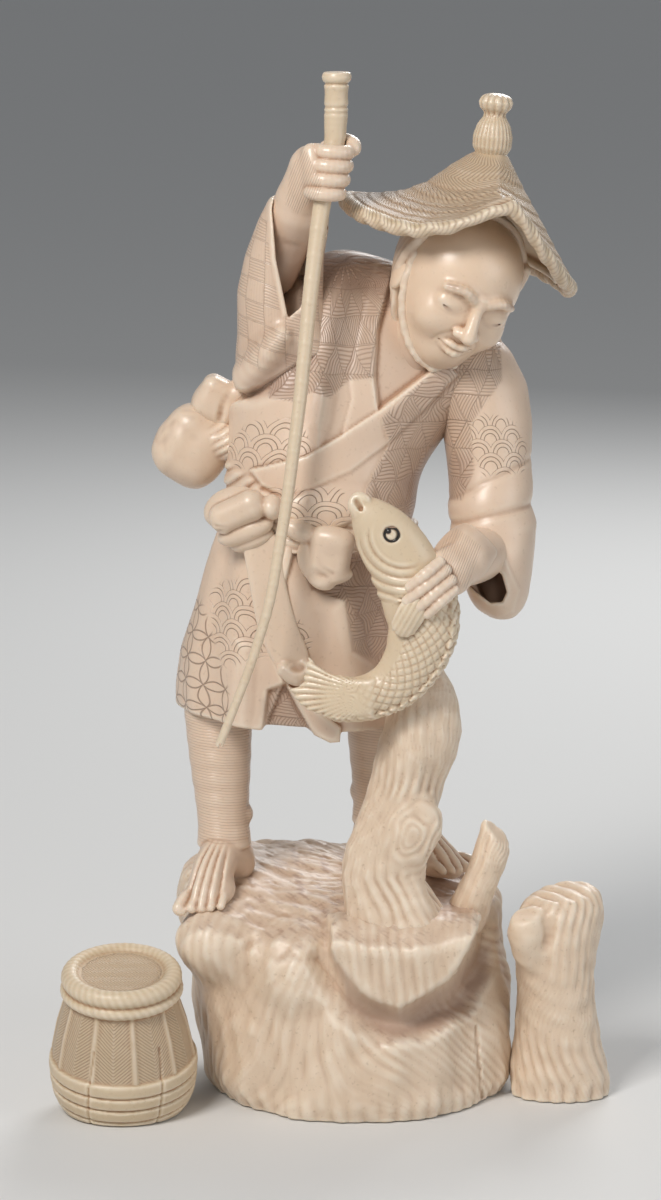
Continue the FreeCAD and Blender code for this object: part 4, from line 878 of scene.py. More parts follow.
def robe_extra(p, n):
    x, y, z = p.T
    px, py = photo(p)
    face = (y < 4) * 1.0
    rear = 1 - face
    leaf = inside(px, py, [(292, 552), (340, 552), (420, 565), (420, 700), (394, 700), (375, 660),
                           (356, 652), (346, 602), (312, 588)], 4)
    leaf = np.maximum(leaf, inside(px, py, [(270, 690), (286, 686), (314, 735), (266, 735)], 3))
    arcs = inside(px, py, [(210, 592), (222, 582), (262, 574), (262, 620), (268, 655), (224, 668),
                           (214, 640)], 5)
    arcs = np.maximum(arcs, inside(px, py, [(265, 622), (300, 620), (312, 640), (306, 672), (284, 680)],
                                   4))
    rings = inside(px, py, [(176, 600), (200, 596), (214, 640), (228, 690), (230, 728), (190, 715),
                            (168, 700)], 5)
    far = np.clip(rear * step(z, 118, 122) * (1 - step(z, 138, 142)), 0, 1)
    hem = rear * (1 - step(z, 112, 115))
    wrap = wrap_round(p, -9, 0, 27)
    # painted shade on the recessed lap, in the cleft and inside the skirt; the back is darker just below
    # the sash
    stain = inside(px, py, LAP, 22) * face * 0.42 + 0.15 * rear * step(z, 150, 165)
    stain = stain + 0.30 * inside(px, py, [(262, 700), (286, 684), (318, 735), (262, 738)], 8) * face
    inner = (z < 121) * (np.hypot((x + 11) / 31, y / 20.5) < 0.98)
    return {"wrap": wrap, "zone": zones(p, leaf * face, np.clip(arcs * face + far, 0, 1),
                                        np.clip(rings * face + hem, 0, 1)),
            "stain": np.clip(stain + 0.5 * inner, 0, 0.8)}


piece("robe_skirt", "robe", skirt_field, (-50, -31, 96), (30, 30, 170), 0.5, robe_extra)

# Robe body: belly, chest, back and shoulders, with lapels crossed over a bare neck
LAPEL = [(445, 360), (379, 411), (342, 435), (306, 456), (250, 470), (262, 486), (285, 497), (308, 489),
         (351, 471), (390, 442), (424, 410), (458, 375)]
UNDER_LAPEL = [(394, 262), (376, 330), (373, 378), (379, 411), (342, 436), (352, 400), (350, 378),
               (360, 330), (376, 262)]
THROAT = [(396, 262), (378, 330), (375, 376), (379, 409), (441, 362), (430, 300)]
BELLY = [(255, 489), (285, 499), (308, 491), (351, 473), (376, 470), (374, 500), (358, 520), (340, 529),
         (316, 530), (290, 519), (268, 503)]
LEFT_CHEST = [(381, 418), (441, 364), (470, 338), (500, 350), (500, 385), (470, 430), (474, 470),
              (456, 497), (428, 500), (411, 528), (366, 512), (366, 490), (374, 472), (390, 443)]
RIGHT_CHEST = [(300, 250), (392, 258), (394, 300), (377, 330), (374, 378), (349, 380), (330, 398),
               (312, 392), (296, 402), (268, 398), (272, 372), (300, 330)]


def torso_core(p):
    lean = np.array(((0.93, 0, 0.36), (0, 1, 0), (-0.36, 0, 0.93)))
    gap = egg(p, (-6.6, -3.5, 166), (25.6, 23.4, 22))
    gap = smin(gap, egg(p, (-6.0, -2.0, 182), (25.4, 20.5, 22)), 8)
    gap = smin(gap, egg(p, (4.5, 1.5, 199), (28.5, 18.5, 25), lean), 10)
    gap = smin(gap, egg(p, (0.0, 7.5, 216), (17.5, 13.0, 15.5)), 9)
    gap = smin(gap, egg(p, (29.5, 3.0, 203), (14.0, 12.5, 13.0)), 9)
    gap = smin(gap, egg(p, (12.0, 6.0, 212), (17, 12.5, 14)), 8)
    return smin(gap, egg(p, (-17.5, -2.0, 196), (13, 14.5, 14)), 8)


def torso_field(p):
    x, y, z = p.T
    gap = torso_core(p)
    px, py = photo(p)
    front = step(-y, -4, 3)
    gap = gap + 1.9 * inside(px, py, THROAT, 4) * front
    below = (px - 379) * 0.49 + (py - 411) * 0.87
    gap = gap - 0.9 * inside(px, py, LAPEL, 2.2) * (1 - 0.62 * step(below, 3, 30)) * front
    gap = gap - 0.25 * inside(px, py, UNDER_LAPEL, 2.4) * front
    gap = gap - 1.9 * inside(px, py, BELLY, 7) * step(py, 480, 512) * front
    gap = gap - 0.30 * inside(px, py, LEFT_CHEST, 3) * front
    crease = tube(p, seen((352, 378, -20, 0.45), (351, 400, -22, 0.5), (355, 428, -24, 0.45)), 0.1)
    gap = smax(gap, -crease, 0.6)
    pleat = inside(px, py, [(321, 386), (331, 394), (327, 420), (318, 446), (314, 424)], 14) * front
    gap = gap - 0.8 * pleat
    armpit = tube(p, seen((234, 392, -2, 2.2), (249, 389, -12, 1.9), (268, 381, -18.5, 1.5),
                          (292, 366, -21, 0.8)), 0.3)
    gap = smax(gap, -armpit, 4.0)
    gathers = inside(px, py, [(212, 452), (236, 470), (262, 486), (250, 500), (208, 492)], 10)
    gap = gap - gathers * (0.9 * wave(x * 0.7 - z * 0.72, 3.0) - 0.2) * front
    gap = gap - 0.25 * np.cos(x / 3.4 + z / 9) * step(y, 2, 10)
    return smax(gap, 153.5 - z, 1.0)


def torso_extra(p, n):
    y, z = p[:, 1], p[:, 2]
    px, py = photo(p)
    face = (y < 6) * 1.0
    rear = 1 - face
    leaf = np.maximum(inside(px, py, LEFT_CHEST, 3), inside(px, py, RIGHT_CHEST, 3)) * face
    leaf = np.maximum(leaf, rear * step(z, 192, 195))
    arcs = inside(px, py, [(228, 445), (248, 422), (300, 418), (313, 450), (306, 456), (251, 470),
                           (236, 468)], 3)
    arcs = np.maximum(arcs, inside(px, py, [(268, 488), (308, 490), (330, 484), (344, 492), (352, 520),
                                            (300, 534), (280, 515)], 3))
    low = rear * (1 - step(z, 182, 185))
    stain = 0.16 * leaf
    # painted shade between the raised arm and the head, in the armpit, beside the lowered sleeve and in
    # the throat
    stain = stain + 0.45 * inside(px, py, [(298, 250), (330, 250), (392, 272), (390, 300), (330, 285),
                                           (305, 300)], 22) * face
    stain = stain + 0.55 * inside(px, py, [(240, 388), (262, 380), (300, 350), (318, 358), (290, 390),
                                           (252, 400)], 14) * face
    stain = stain + 0.40 * inside(px, py, [(400, 480), (440, 455), (470, 455), (474, 490), (430, 500),
                                           (410, 520)], 22) * face
    stain = stain + 0.20 * inside(px, py, THROAT, 6) * face
    return {"wrap": wrap_round(p, 0, 0, 25), "zone": zones(p, leaf, np.clip(arcs * face + low, 0, 1), 0),
            "stain": np.clip(stain, 0, 0.75)}


piece("robe_body", "robe", torso_field, (-36, -30, 152), (47, 26, 236), 0.5, torso_extra)


# Sash, bows and tail
def sash_field(p):
    x, y, z = p.T
    ring = smin(torso_core(p), loft(p, SKIRT_ROWS), 2.0) + 0.4
    height = z - (157.0 + 4.6 * step(-x, 14, 30) - 3.0 * step(x, 6, 18) - 0.04 * y)
    band = smax(np.abs(ring) - 1.3, np.abs(height) - 4.4, 1.4)
    return band + 0.6 * (1 - wave(height + 1.2 * np.sin(x / 7) + 0.12 * x, 2.9)) - 0.15


piece("sash", "fold", sash_field, (-40, -32, 152), (28, 28, 172), 0.45, plain_extra(0.06))


def loop_field(p, centre, turn, wide, high, deep):
    """A folded bow: a fat upper fold over two thinner ones."""
    q = (p - np.array(centre)) @ turn
    top = slab(q, (-wide * 0.02, -deep * 0.15, high * 0.14), (wide * 0.45, deep * 0.5, high * 0.27),
               spin(-4), 3.6)
    low = egg(q, (-wide * 0.04, deep * 0.05, -high * 0.22), (wide * 0.46, deep * 0.5, high * 0.24))
    last = egg(q, (-wide * 0.02, deep * 0.2, -high * 0.42), (wide * 0.36, deep * 0.45, high * 0.18))
    back = egg(q, (-wide * 0.14, deep * 0.25, high * 0.22), (wide * 0.46, deep * 0.5, high * 0.36))
    gap = smin(smin(smin(top, low, 0.35), last, 0.3), back, 0.4)
    pinch = egg(q, (wide * 0.5, 0, 0), (wide * 0.16, deep * 0.5, high * 0.22))
    dent = tube(q, [(-wide * 0.36, -deep * 0.62, high * 0.05, 0.5),
                    (-wide * 0.12, -deep * 0.72, -high * 0.12, 0.7)], 0.1)
    notch = tube(q, [(-wide * 0.50, -deep * 0.3, -high * 0.02, 0.5),
                     (-wide * 0.30, -deep * 0.62, -high * 0.10, 0.9),
                     (-wide * 0.22, -deep * 0.6, -high * 0.2, 0.3)], 0.1)
    return smax(smax(smin(gap, pinch, 1.2), -dent, 0.7), -notch, 0.8)


piece("right_bow", "fold",
      lambda p: loop_field(p, spot(243, 518, -25.5), spin(-22, -12), 17.5, 15.5, 9),
      (-42, -36, 148), (-12, -16, 174), 0.36, plain_extra(0.03))


def small_bow_field(p):
    knot = egg(p, spot(301, 531, -27.5), (5.6, 3.4, 3.0), spin(22))
    drop = slab(p, spot(330, 552, -29.2), (5.9, 3.4, 6.6), spin(10, -8), 3.3)
    shoulder = egg(p, spot(335, 540, -29.6), (4.6, 3.2, 3.0), spin(14))
    under = egg(p, spot(314, 562, -28.4), (4.2, 3.0, 6.4), spin(-22, -8))
    curl = egg(p, spot(336, 577, -29.0), (4.6, 2.8, 2.0), spin(-12))
    lobe = egg(p, spot(322, 581, -28.8), (3.6, 2.6, 2.4), spin(20))
    gap = smin(smin(smin(drop, shoulder, 2.2), under, 0.4), knot, 0.9)
    groove = tube(p, seen((318, 548, -33.2, 0.4), (320, 566, -33.0, 0.6), (332, 574, -32.6, 0.4)), 0.1)
    return smax(smin(smin(gap, curl, 1.6), lobe, 1.0), -groove, 0.8)


piece("left_bow", "fold", small_bow_field,
      (-20, -36, 138), (8, -18, 166), 0.36, plain_extra(0.05))


def tail_field(p):
    rows = seen((262, 545, -25.5, 5.2, 2.0), (268, 585, -26.5, 4.9, 1.7), (277, 625, -26.0, 5.2, 1.7),
                (290, 655, -25.5, 5.0, 2.0), (297, 668, -25.5, 4.2, 2.4))
    got, near, _ = along(p, rows, (0, 1, 0))
    ends = smax(ribbon(got, near, 0.7), np.abs(got[:, 2]) - got[:, 4] * 0.8, 0.6)
    curl = tube(p, seen((285, 670, -27, 2.2), (297, 676, -27.4, 2.6), (306, 668, -27, 2.0)), 0.4)
    dimple = egg(p, spot(298, 667, -29.5), (2.2, 2.0, 1.6))
    return smax(smin(ends, curl, 1.2), -dimple, 0.6)


piece("sash_tail", "fold", tail_field,
      (-36, -34, 112), (-4, -18, 162), 0.36, plain_extra(0.0))

# Raised right sleeve: an open cone of cloth round the forearm
SLEEVE_ROWS = [(186, -11.0, -3.0, 12.0, 12.0), (192, -13.0, -3.4, 14.0, 13.6),
               (200, -15.0, -4.2, 14.2, 14.2), (210, -16.6, -5.0, 12.6, 13.4),
               (222, -17.6, -6.2, 11.6, 12.2), (232, -16.4, -7.4, 10.6, 11.0),
               (242, -13.8, -9.0, 9.4, 9.6), (249, -11.8, -10.0, 7.8, 8.2), (255, -10.5, -10.5, 5.4, 6.2)]
MOUTH = [(286, 168), (278, 178), (272, 209), (276, 259), (288, 318), (300, 308), (318, 262), (335, 200),
         (330, 160)]


def wider_mouth(left, right, up=0):
    """The mouth with its sides moved out and its outline raised."""
    return [(a + (right if a > 290 else -left), b - up) for a, b in MOUTH]


def sleeve_field(p):
    x, y, z = p.T
    outer = loft(p, SLEEVE_ROWS)
    fold = 0.5 * np.cos(z / 6.5 + x / 5) * (1 - step(z, 205, 215))
    outer = smax(outer - fold, z - 252.5 - 0.25 * x, 1.5)
    hollow = smax(loft(p, SLEEVE_ROWS) + 2.3, 206 - z, 2.0)
    px, py = photo(p)
    body = smax(outer, -hollow, 0.5)
    edge = inside(px, py, wider_mouth(5, 4, 2), 5) * (y < -4)
    body = smax(body - 0.35 * edge, gate(p, MOUTH, -7), 0.6)
    tuck = egg(p, (-23.5, -6, 195.0), (6.4, 8.0, 4.4), spin(-35))
    body = smin(body, smax(tuck, -hollow, 0.5), 5.0)
    fold = tube(p, seen((248, 377, -12, 3.6), (262, 360, -17.5, 3.0), (282, 336, -20.5, 1.8)), 0.5)
    body = smin(body, fold, 4.5)
    below = inside(px, py, [(205, 395), (247, 392), (262, 387), (280, 377), (298, 365), (335, 350),
                            (350, 450), (205, 450)], 8)
    body = body + 3.4 * below * (y < 8)
    return smax(body, 187.5 - z, 1.5)


def sleeve_extra(p, n):
    x, y, z = p.T
    px, py = photo(p)
    hollow = (loft(p, SLEEVE_ROWS) < -1.2) * 1.0
    net = step(z, 201, 205) * (1 - hollow) * (1 - inside(px, py, MOUTH, 3) * (y < -7))
    rim = inside(px, py, wider_mouth(6, 6), 2) * (y < -4)
    # painted shade in the armpit fold and, faintly, inside the sleeve
    stain = 0.55 * inside(px, py, [(246, 384), (262, 372), (300, 348), (318, 356), (290, 386),
                                   (250, 402)], 14) + 0.04 * hollow
    wrap = wrap_round(p, -16, -6, 12)
    wrap[:, 1] = z + 0.32 * x
    return {"wrap": wrap, "zone": zones(p, net * (1 - rim), 0, 0), "stain": np.clip(stain, 0, 0.6)}


piece("right_sleeve", "sleeve", sleeve_field,
      (-34, -24, 184), (6, 12, 256), 0.42, sleeve_extra)

# Rod centre line, shared by the rod and the fist
ROD_ROWS = [(-2.3, -18.2, 281.4, 3.6), (-2.4, -18.2, 279.6, 3.6), (-2.45, -18.2, 276.5, 3.05),
            (-2.5, -18.2, 272, 3.2), (-2.7, -18.4, 267, 2.95), (-3.1, -19.0, 262.4, 2.75),
            (-6.3, -22.0, 246.8, 2.35), (-8.9, -26.0, 227.4, 2.1), (-10.6, -29.8, 211, 1.95),
            (-12.1, -33.0, 196.3, 1.8), (-13.8, -35.8, 183, 1.7), (-15.5, -38.0, 170.3, 1.6),
            (-17.7, -40.2, 157, 1.5), (-20.0, -42.0, 144.2, 1.4), (-23.2, -42.9, 133, 1.3),
            (-26.7, -43.2, 122.7, 1.22), (-33.5, -42.4, 105.2, 1.15)]


def rod_field(p):
    z = p[:, 2]
    gap = tube(p, ROD_ROWS, 0.2, 3)
    gap = smax(gap, z - 281.6, 0.5)
    for height, depth in ((278.6, 0.55), (272.4, 0.35), (271.0, 0.2)):
        gap = gap + depth * np.exp(-((z - height) / 0.4) ** 2)
    gap = gap - 0.25 * np.exp(-((z - 280.2) / 0.8) ** 2)
    slit = slab(p, (-33.4, -42.6, 104.6), (0.25, 3, 0.9), None, 0.1)
    return smax(gap, -slit, 0.2)


piece("rod", "rod", rod_field, (-38, -48, 102), (4, -12, 284), 0.3, plain_extra())


def rod_at(z):
    rows = np.array(ROD_ROWS)[::-1]
    return np.array([np.interp(z, rows[:, 2], rows[:, i]) for i in range(2)])


def fist_field(p):
    arm = tube(p, [(-19, -3, 226, 5.6), (-16.5, -6, 234, 6.2), (-13.5, -10.5, 243.5, 6.4),
                   (-11.2, -14.0, 250.0, 6.2)], 1.0)
    cuff = tube(p, [(-14.2, -9.5, 241.0, 6.9), (-13.2, -11.0, 243.5, 6.9)], 0.5)
    arm = smin(arm, cuff, 0.5)
    palm = egg(p, (-8.6, -16.6, 254.8), (6.6, 6.2, 7.6), spin(-14))
    hand = smin(arm, palm, 3.0)
    knuckle = tube(p, [(-9.0, -21.0, 260.5, 2.6), (-8.4, -22.2, 256.5, 2.5), (-7.8, -22.6, 252.6, 2.3)],
                   0.6)
    hand = smin(hand, knuckle, 2.0)
    for i in range(4):
        z = 261.0 - 3.62 * i
        cx, cy = rod_at(z)
        fat = (1.95, 2.0, 1.95, 1.8)[i]
        reach = 2.7 + fat * 0.72
        rows = []
        for turn in (205, 232, 260, 290, 320, 350, 378):
            a = math.radians(turn)
            lift = 0.35 * math.sin(math.radians(turn - 230))
            rows.append((cx + reach * math.cos(a) * 1.05, cy + reach * math.sin(a), z - lift,
                         fat * (0.92 if turn > 350 else 1.0)))
        hand = smin(hand, tube(p, rows, 0.2, 2), 0.35 if i else 0.5)
    thumb = tube(p, [(-6.0, -13.0, 259.5, 2.8), (-1.5, -14.0, 262.6, 2.5), (1.6, -17.0, 262.4, 2.2),
                     (2.2, -19.4, 261.4, 1.9)], 0.4)
    hand = smin(hand, thumb, 0.6)
    bore = tube(p, [(*row[:3], row[3] + 0.25) for row in ROD_ROWS[3:8]], 0.1, 3)
    return smax(hand, -bore, 0.15)


def fist_extra(p, n):
    px, py = photo(p)
    cuff = (inside(px, py, [(290, 168), (304, 148), (320, 178), (322, 192), (298, 214), (286, 205)], 3)
            * (p[:, 1] < -8))
    # painted shade on the forearm inside the sleeve's mouth
    return {"wrap": flat_wrap(p), "zone": zones(p, 0, cuff, 0),
            "stain": 0.6 * (1 - step(p[:, 2], 232, 246))}


piece("right_hand", "skin", fist_field, (-28, -28, 220), (7, 4, 268), 0.34, fist_extra)


# Lowered left sleeve with a rolled fold and an open hanging mouth
LOWER_ROWS = [(133, 43.0, -10.5, 3.0, 5.0), (135, 42.8, -10.5, 5.6, 8.0), (139, 42.4, -10.4, 8.0, 11.0),
              (146, 41.4, -10.0, 9.9, 12.8), (154, 40.4, -9.0, 11.0, 13.6),
              (161, 39.9, -7.4, 11.2, 13.2), (168, 39.4, -5.4, 11.0, 12.4),
              (176, 39.2, -3.0, 11.6, 12.4), (186, 38.6, -0.6, 12.4, 13.2), (196, 36.2, 1.2, 13.4, 14.0),
              (205, 33.2, 2.2, 11.8, 13.0), (214, 29.5, 3.0, 6.0, 8.0)]
HANGING = [(440, 548), (462, 550), (486, 560), (503, 574), (508, 592), (503, 603), (490, 604),
           (474, 592), (458, 575), (440, 570)]


def lower_sleeve_field(p):
    x, y, z = p.T
    tilt = z - 0.22 * (x - 40) + 0.010 * (x - 40) ** 2
    roll = 0.6 * np.exp(-((tilt - 167.5) / 3.6) ** 2) + 0.4 * np.exp(-((tilt - 158.5) / 2.6) ** 2)
    crease = (0.45 * np.exp(-((tilt - 163.0) / 1.1) ** 2)
              + 0.3 * np.exp(-((tilt - 172.5 - 0.25 * x + 10) / 1.0) ** 2))
    gap = loft(p, LOWER_ROWS) - roll + crease
    gap = gap - 0.45 * np.cos((x - 0.8 * z) / 4.0) * (1 - step(z, 158, 163))
    hollow = smax(loft(p, LOWER_ROWS) + 2.1, z - 157, 3.0)
    px, py = photo(p)
    gap = smax(gap, -hollow, 0.6)
    gap = smax(gap, gate(p, HANGING, -9), 0.8)
    rim = inside(px, py, [(450, 530), (474, 538), (504, 556), (520, 590), (514, 612), (498, 618),
                          (474, 610), (458, 584), (440, 556)], 3)
    return gap - 0.35 * rim * (y < -6)


def lower_sleeve_extra(p, n):
    y, z = p[:, 1], p[:, 2]
    px, py = photo(p)
    face = (y < 4) * 1.0
    arcs = inside(px, py, [(470, 425), (486, 412), (512, 420), (527, 446), (524, 472), (484, 476),
                           (472, 452)], 3) * face
    arcs = np.maximum(arcs, (1 - face) * step(z, 170, 174) * (1 - step(z, 190, 193)))
    leaf = inside(px, py, [(430, 345), (500, 335), (502, 380), (470, 425), (474, 470), (462, 500),
                           (430, 500)], 3) * face
    hollow = ((loft(p, LOWER_ROWS) < -1.1) & (z < 160)) * 1.0
    # painted shade inside the hanging sleeve and on a patch by the chest
    stain = (0.55 * hollow + 0.30 * inside(px, py, [(440, 455), (470, 455), (472, 490), (450, 500)], 18)
             * face)
    return {"wrap": wrap_round(p, 39, -4, 12), "zone": zones(p, 0, arcs, leaf),
            "stain": np.clip(stain, 0, 0.7)}


piece("left_sleeve", "sleeve", lower_sleeve_field,
      (20, -28, 128), (57, 20, 219), 0.45, lower_sleeve_extra)


def open_hand_field(p):
    arm = tube(p, seen((492, 545, -12, 6.5), (478, 555, -22, 7.0), (462, 560, -31, 7.0)), 1.0)
    cuff = tube(p, seen((470, 552, -27, 7.9), (462, 558, -31.5, 8.0)), 0.5)
    cuff = smax(cuff, slab(p, spot(462, 562, -34), (9.5, 9.0, 6.2), spin(-42, 20), 1.5), 0.8)
    back = egg(p, spot(450, 572, -38), (6.6, 5.0, 6.6), spin(-35, 12))
    hand = smin(smin(arm, cuff, 0.6), back, 2.0)
    for start, end, fat in (((440, 562), (410, 587), 1.55), ((446, 570), (407, 601), 1.6),
                            ((451, 580), (414, 611), 1.6), ((454, 590), (427, 614), 1.45)):
        a, b = spot(*start, -43.5), spot(*end, -45.0)
        m = spot((start[0] + end[0]) / 2, (start[1] + end[1]) / 2, -46.0)
        hand = smin(hand, tube(p, [(*a, fat), (*m, fat * 1.05), (*b, fat * 0.95)], 0.2), 0.25)
    return hand


def open_hand_extra(p, n):
    px, py = photo(p)
    cuff = (inside(px, py, [(440, 545), (456, 528), (482, 546), (468, 590), (448, 578)], 3)
            * (p[:, 1] < -20))
    return {"wrap": flat_wrap(p), "zone": zones(p, 0, cuff, 0), "stain": np.zeros(len(p))}


piece("left_hand", "skin", open_hand_field,
      (6, -52, 132), (50, -6, 166), 0.36, open_hand_extra)

# Head: its own axes are right, back and up after the lean, turn and bow
HEAD_TURN = spin(22) @ spin(0, 24) @ nod(14)
HEAD_MIDDLE = np.array((29.4, -9.0, 223.0))


def skull(q):
    gap = egg(q, (0, 2.0, 5.5), (16.6, 17.6, 16.2))
    gap = smin(gap, egg(q, (0, -2.6, -5.0), (13.2, 13.2, 14.6)), 7)
    return smin(gap, egg(q, (0, -7.5, -14.0), (6.6, 6.4, 5.6)), 5)


def face_field(q):
    gap = skull(q)
    for side in (-1, 1):
        gap = smin(gap, egg(q, (7.6 * side, -10.6, -4.6), (5.2, 4.6, 4.8)), 4)
        gap = smax(gap, -egg(q, (6.4 * side, -18.2, 2.2), (4.8, 2.2, 2.5)), 3.2)
        gap = smin(gap, egg(q, (6.3 * side, -13.4, 1.2), (4.2, 2.5, 2.2)), 1.6)
        lid = tube(q, [(2.7 * side, -16.2, 0.9, 0.28), (5.0 * side, -16.9, -0.3, 0.34),
                       (7.4 * side, -16.1, -0.3, 0.34), (9.8 * side, -13.9, 0.9, 0.25)], 0.1)
        gap = smax(gap, -lid, 0.25)
        brow = tube(q, [(2.6 * side, -16.6, 4.9, 0.8), (6.2 * side, -16.6, 6.3, 0.9),
                        (10.4 * side, -14.1, 5.2, 0.6)], 0.3)
        gap = smin(gap, brow, 3.0)
        gap = smin(gap, egg(q, (2.3 * side, -17.2, -4.9), (1.7, 1.9, 1.5)), 0.8)
        nostril = egg(q, (1.4 * side, -18.3, -6.3), (0.7, 0.7, 0.5))
        gap = smax(gap, -nostril, 0.3)
        smile = tube(q, [(3.6 * side, -16.6, -5.6, 0.3), (6.0 * side, -15.6, -8.2, 0.35),
                         (6.6 * side, -14.2, -10.6, 0.25)], 0.1)
        gap = smax(gap, -smile, 0.9)
        ear = egg(q, (16.2 * side, 1.5, -1.0), (1.6, 3.2, 5.2))
        gap = smin(gap, ear, 0.8)
    nose = tube(q, [(0, -15.9, 4.8, 1.3), (0, -17.2, 1.0, 1.4), (0, -18.6, -2.4, 1.7),
                    (0, -19.4, -4.6, 2.05)], 0.3)
    gap = smin(gap, nose, 1.5)
    upper = tube(q, [(-4.6, -14.3, -9.3, 0.5), (-2.0, -16.4, -9.0, 0.95), (0, -16.7, -9.3, 0.85),
                     (2.0, -16.4, -9.0, 0.95), (4.6, -14.3, -9.3, 0.5)], 0.2)
    lower = tube(q, [(-3.8, -14.3, -10.4, 0.6), (0, -16.2, -11.3, 1.2), (3.8, -14.3, -10.4, 0.6)], 0.2)
    gap = smin(smin(gap, upper, 0.7), lower, 0.8)
    gape = tube(q, [(-5.2, -14.4, -9.3, 0.22), (-2.2, -17.0, -10.1, 0.3), (2.2, -17.0, -10.1, 0.3),
                    (5.2, -14.4, -9.3, 0.22)], 0.1)
    gap = smax(gap, -gape, 0.35)
    return gap


def head_field(p):
    q = (p - HEAD_MIDDLE) @ HEAD_TURN
    gap = face_field(q)
    neck = tube(p, [(10.0, -2.0, 192, 11.5), (15.5, -2.0, 202, 10.2), (22.5, -4.0, 212, 9.8)], 1.0)
    return smin(gap, neck, 1.0)


def head_extra(p, n):
    q = (p - HEAD_MIDDLE) @ HEAD_TURN
    x, y, z = q.T
    # painted shade under the chin and low on the neck; the brows and lids are dark marks of their own
    neck = 0.42 * step(-z, 13, 19) * step(y, -12, -5) + 0.30 * step(-p[:, 2], -207, -202)
    brow = 0
    for side in (-1, 1):
        strip = tube(q, [(2.8 * side, -17.4, 5.3, 0.9), (6.2 * side, -17.3, 6.9, 1.2),
                         (10.6 * side, -14.6, 5.9, 0.6)], 0.3)
        brow = np.maximum(brow, step(-strip, -0.5, 0.5))
        lid = tube(q, [(2.7 * side, -16.2, 0.9, 0.25), (5.0 * side, -16.7, -0.3, 0.4),
                       (7.4 * side, -15.9, -0.3, 0.4), (9.8 * side, -13.7, 0.9, 0.25)], 0.1)
        brow = np.maximum(brow, 1.5 * step(-lid, -0.45, 0.1))
    ends = step(np.abs(x), 5.5, 10)
    return {"stain": np.clip(neck + 0.55 * brow * (0.35 + 0.65 * ends), 0, 0.75)}


piece("head", "face", head_field, (-3, -33, 190), (52, 16, 246), 0.32, head_extra)


def scarf_field(p):
    q = (p - HEAD_MIDDLE) @ HEAD_TURN
    y, z = q[:, 1], q[:, 2]
    shell = np.abs(skull(q) - 0.6) - 1.2
    open_face = slab(q, (0, -25, 0), (40, 25.5, 40), None, 1.0)
    shell = smax(shell, -open_face, 1.2)
    shell = smax(shell, -z - 17, 1.0)
    gap = shell
    for side in (-1, 1):
        strap = tube(q, [(16.0 * side, -0.5, 6.0, 1.3), (15.4 * side, -2.6, -3.0, 1.25),
                         (12.0 * side, -5.5, -11.5, 1.2), (6.5 * side, -8.8, -17.5, 1.2),
                         (0, -10.2, -19.6, 1.3)], 0.3)
        gap = smin(gap, strap, 0.7)
        gather = tube(q, [(16.4 * side, 0.0, 12.0, 1.5), (17.0 * side, 1.2, 4.0, 1.6),
                          (15.0 * side, 3.0, -6.0, 1.4)], 0.3)
        gap = smin(gap, gather, 0.8)
    return gap + 0.22 * wave(y + 0.3 * z, 2.6) - 0.1


piece("head_scarf", "fold", scarf_field,
      (4, -30, 196), (54, 18, 248), 0.4, plain_extra(0.05))

# Hat: a straw cone that droops at both sides and peaks at the front corner
HAT_TURN = spin(22)
HAT_MIDDLE = np.array((29.8, -1.4, 232.5))
HAT_REACH, HAT_DEEP = 33.6, 0.92
RIM = [(-180, 0.0), (-150, -0.6), (-128, 0.2), (-114, 2.0), (-98, 7.0), (-86, 13.5), (-77, 17.2),
       (-69, 15.0), (-52, 9.0), (-30, 3.6), (0, 0.0), (60, 0.5), (120, 0.5), (180, 0.0)]


def rim_height(turn):
    """Height of the hat's edge over its level, by bearing in degrees."""
    return np.interp(turn, *zip(*RIM))


def hat_level(x, y):
    reach = np.hypot(x, y / HAT_DEEP) / HAT_REACH
    turn = np.degrees(np.arctan2(y / HAT_DEEP, x))
    left = np.interp(reach, (0, 0.08, 0.2, 0.3, 0.42, 0.58, 0.78, 1.0),
                     (28.6, 28.0, 24.0, 19.4, 13.0, 8.0, 4.4, 1.6))
    right = np.interp(reach, (0, 0.1, 0.2, 0.34, 0.55, 0.78, 1.0),
                      (28.6, 27.6, 24.6, 20.2, 14.4, 7.6, 1.2))
    share = 0.5 + 0.5 * np.cos(np.radians(turn))
    cone = left + (right - left) * share
    return cone + rim_height(turn) * np.minimum(reach, 1.15) ** 1.7, reach, turn


def hat_field(p):
    q = (p - HAT_MIDDLE) @ HAT_TURN
    x, y, z = q.T
    level, reach, turn = hat_level(x, y)
    steps = 0.34 * ((reach / 0.103) % 1.0) * step(reach, 0.20, 0.35) * (z > level)
    shell = (np.abs(z - level - steps * 0.5) - 1.3 - steps * 0.5) * 0.72
    shell = smax(shell, (reach - 0.985) * HAT_REACH, 0.8)
    edge_level = rim_height(turn) + 1.4
    out = (reach - 0.965) * HAT_REACH
    bend = np.arctan2(z - edge_level, out)
    rim = (np.sqrt(out ** 2 + (z - edge_level) ** 2) - 2.0
           - 0.22 * np.sin(np.radians(turn) * 30 + bend * 2.0))
    gap = smin(shell, rim * 0.8, 0.6)
    inner = np.sqrt((out + 4.0) ** 2 + (z - edge_level - 1.6) ** 2) - 1.2
    return smin(gap, inner * 0.8, 0.9)


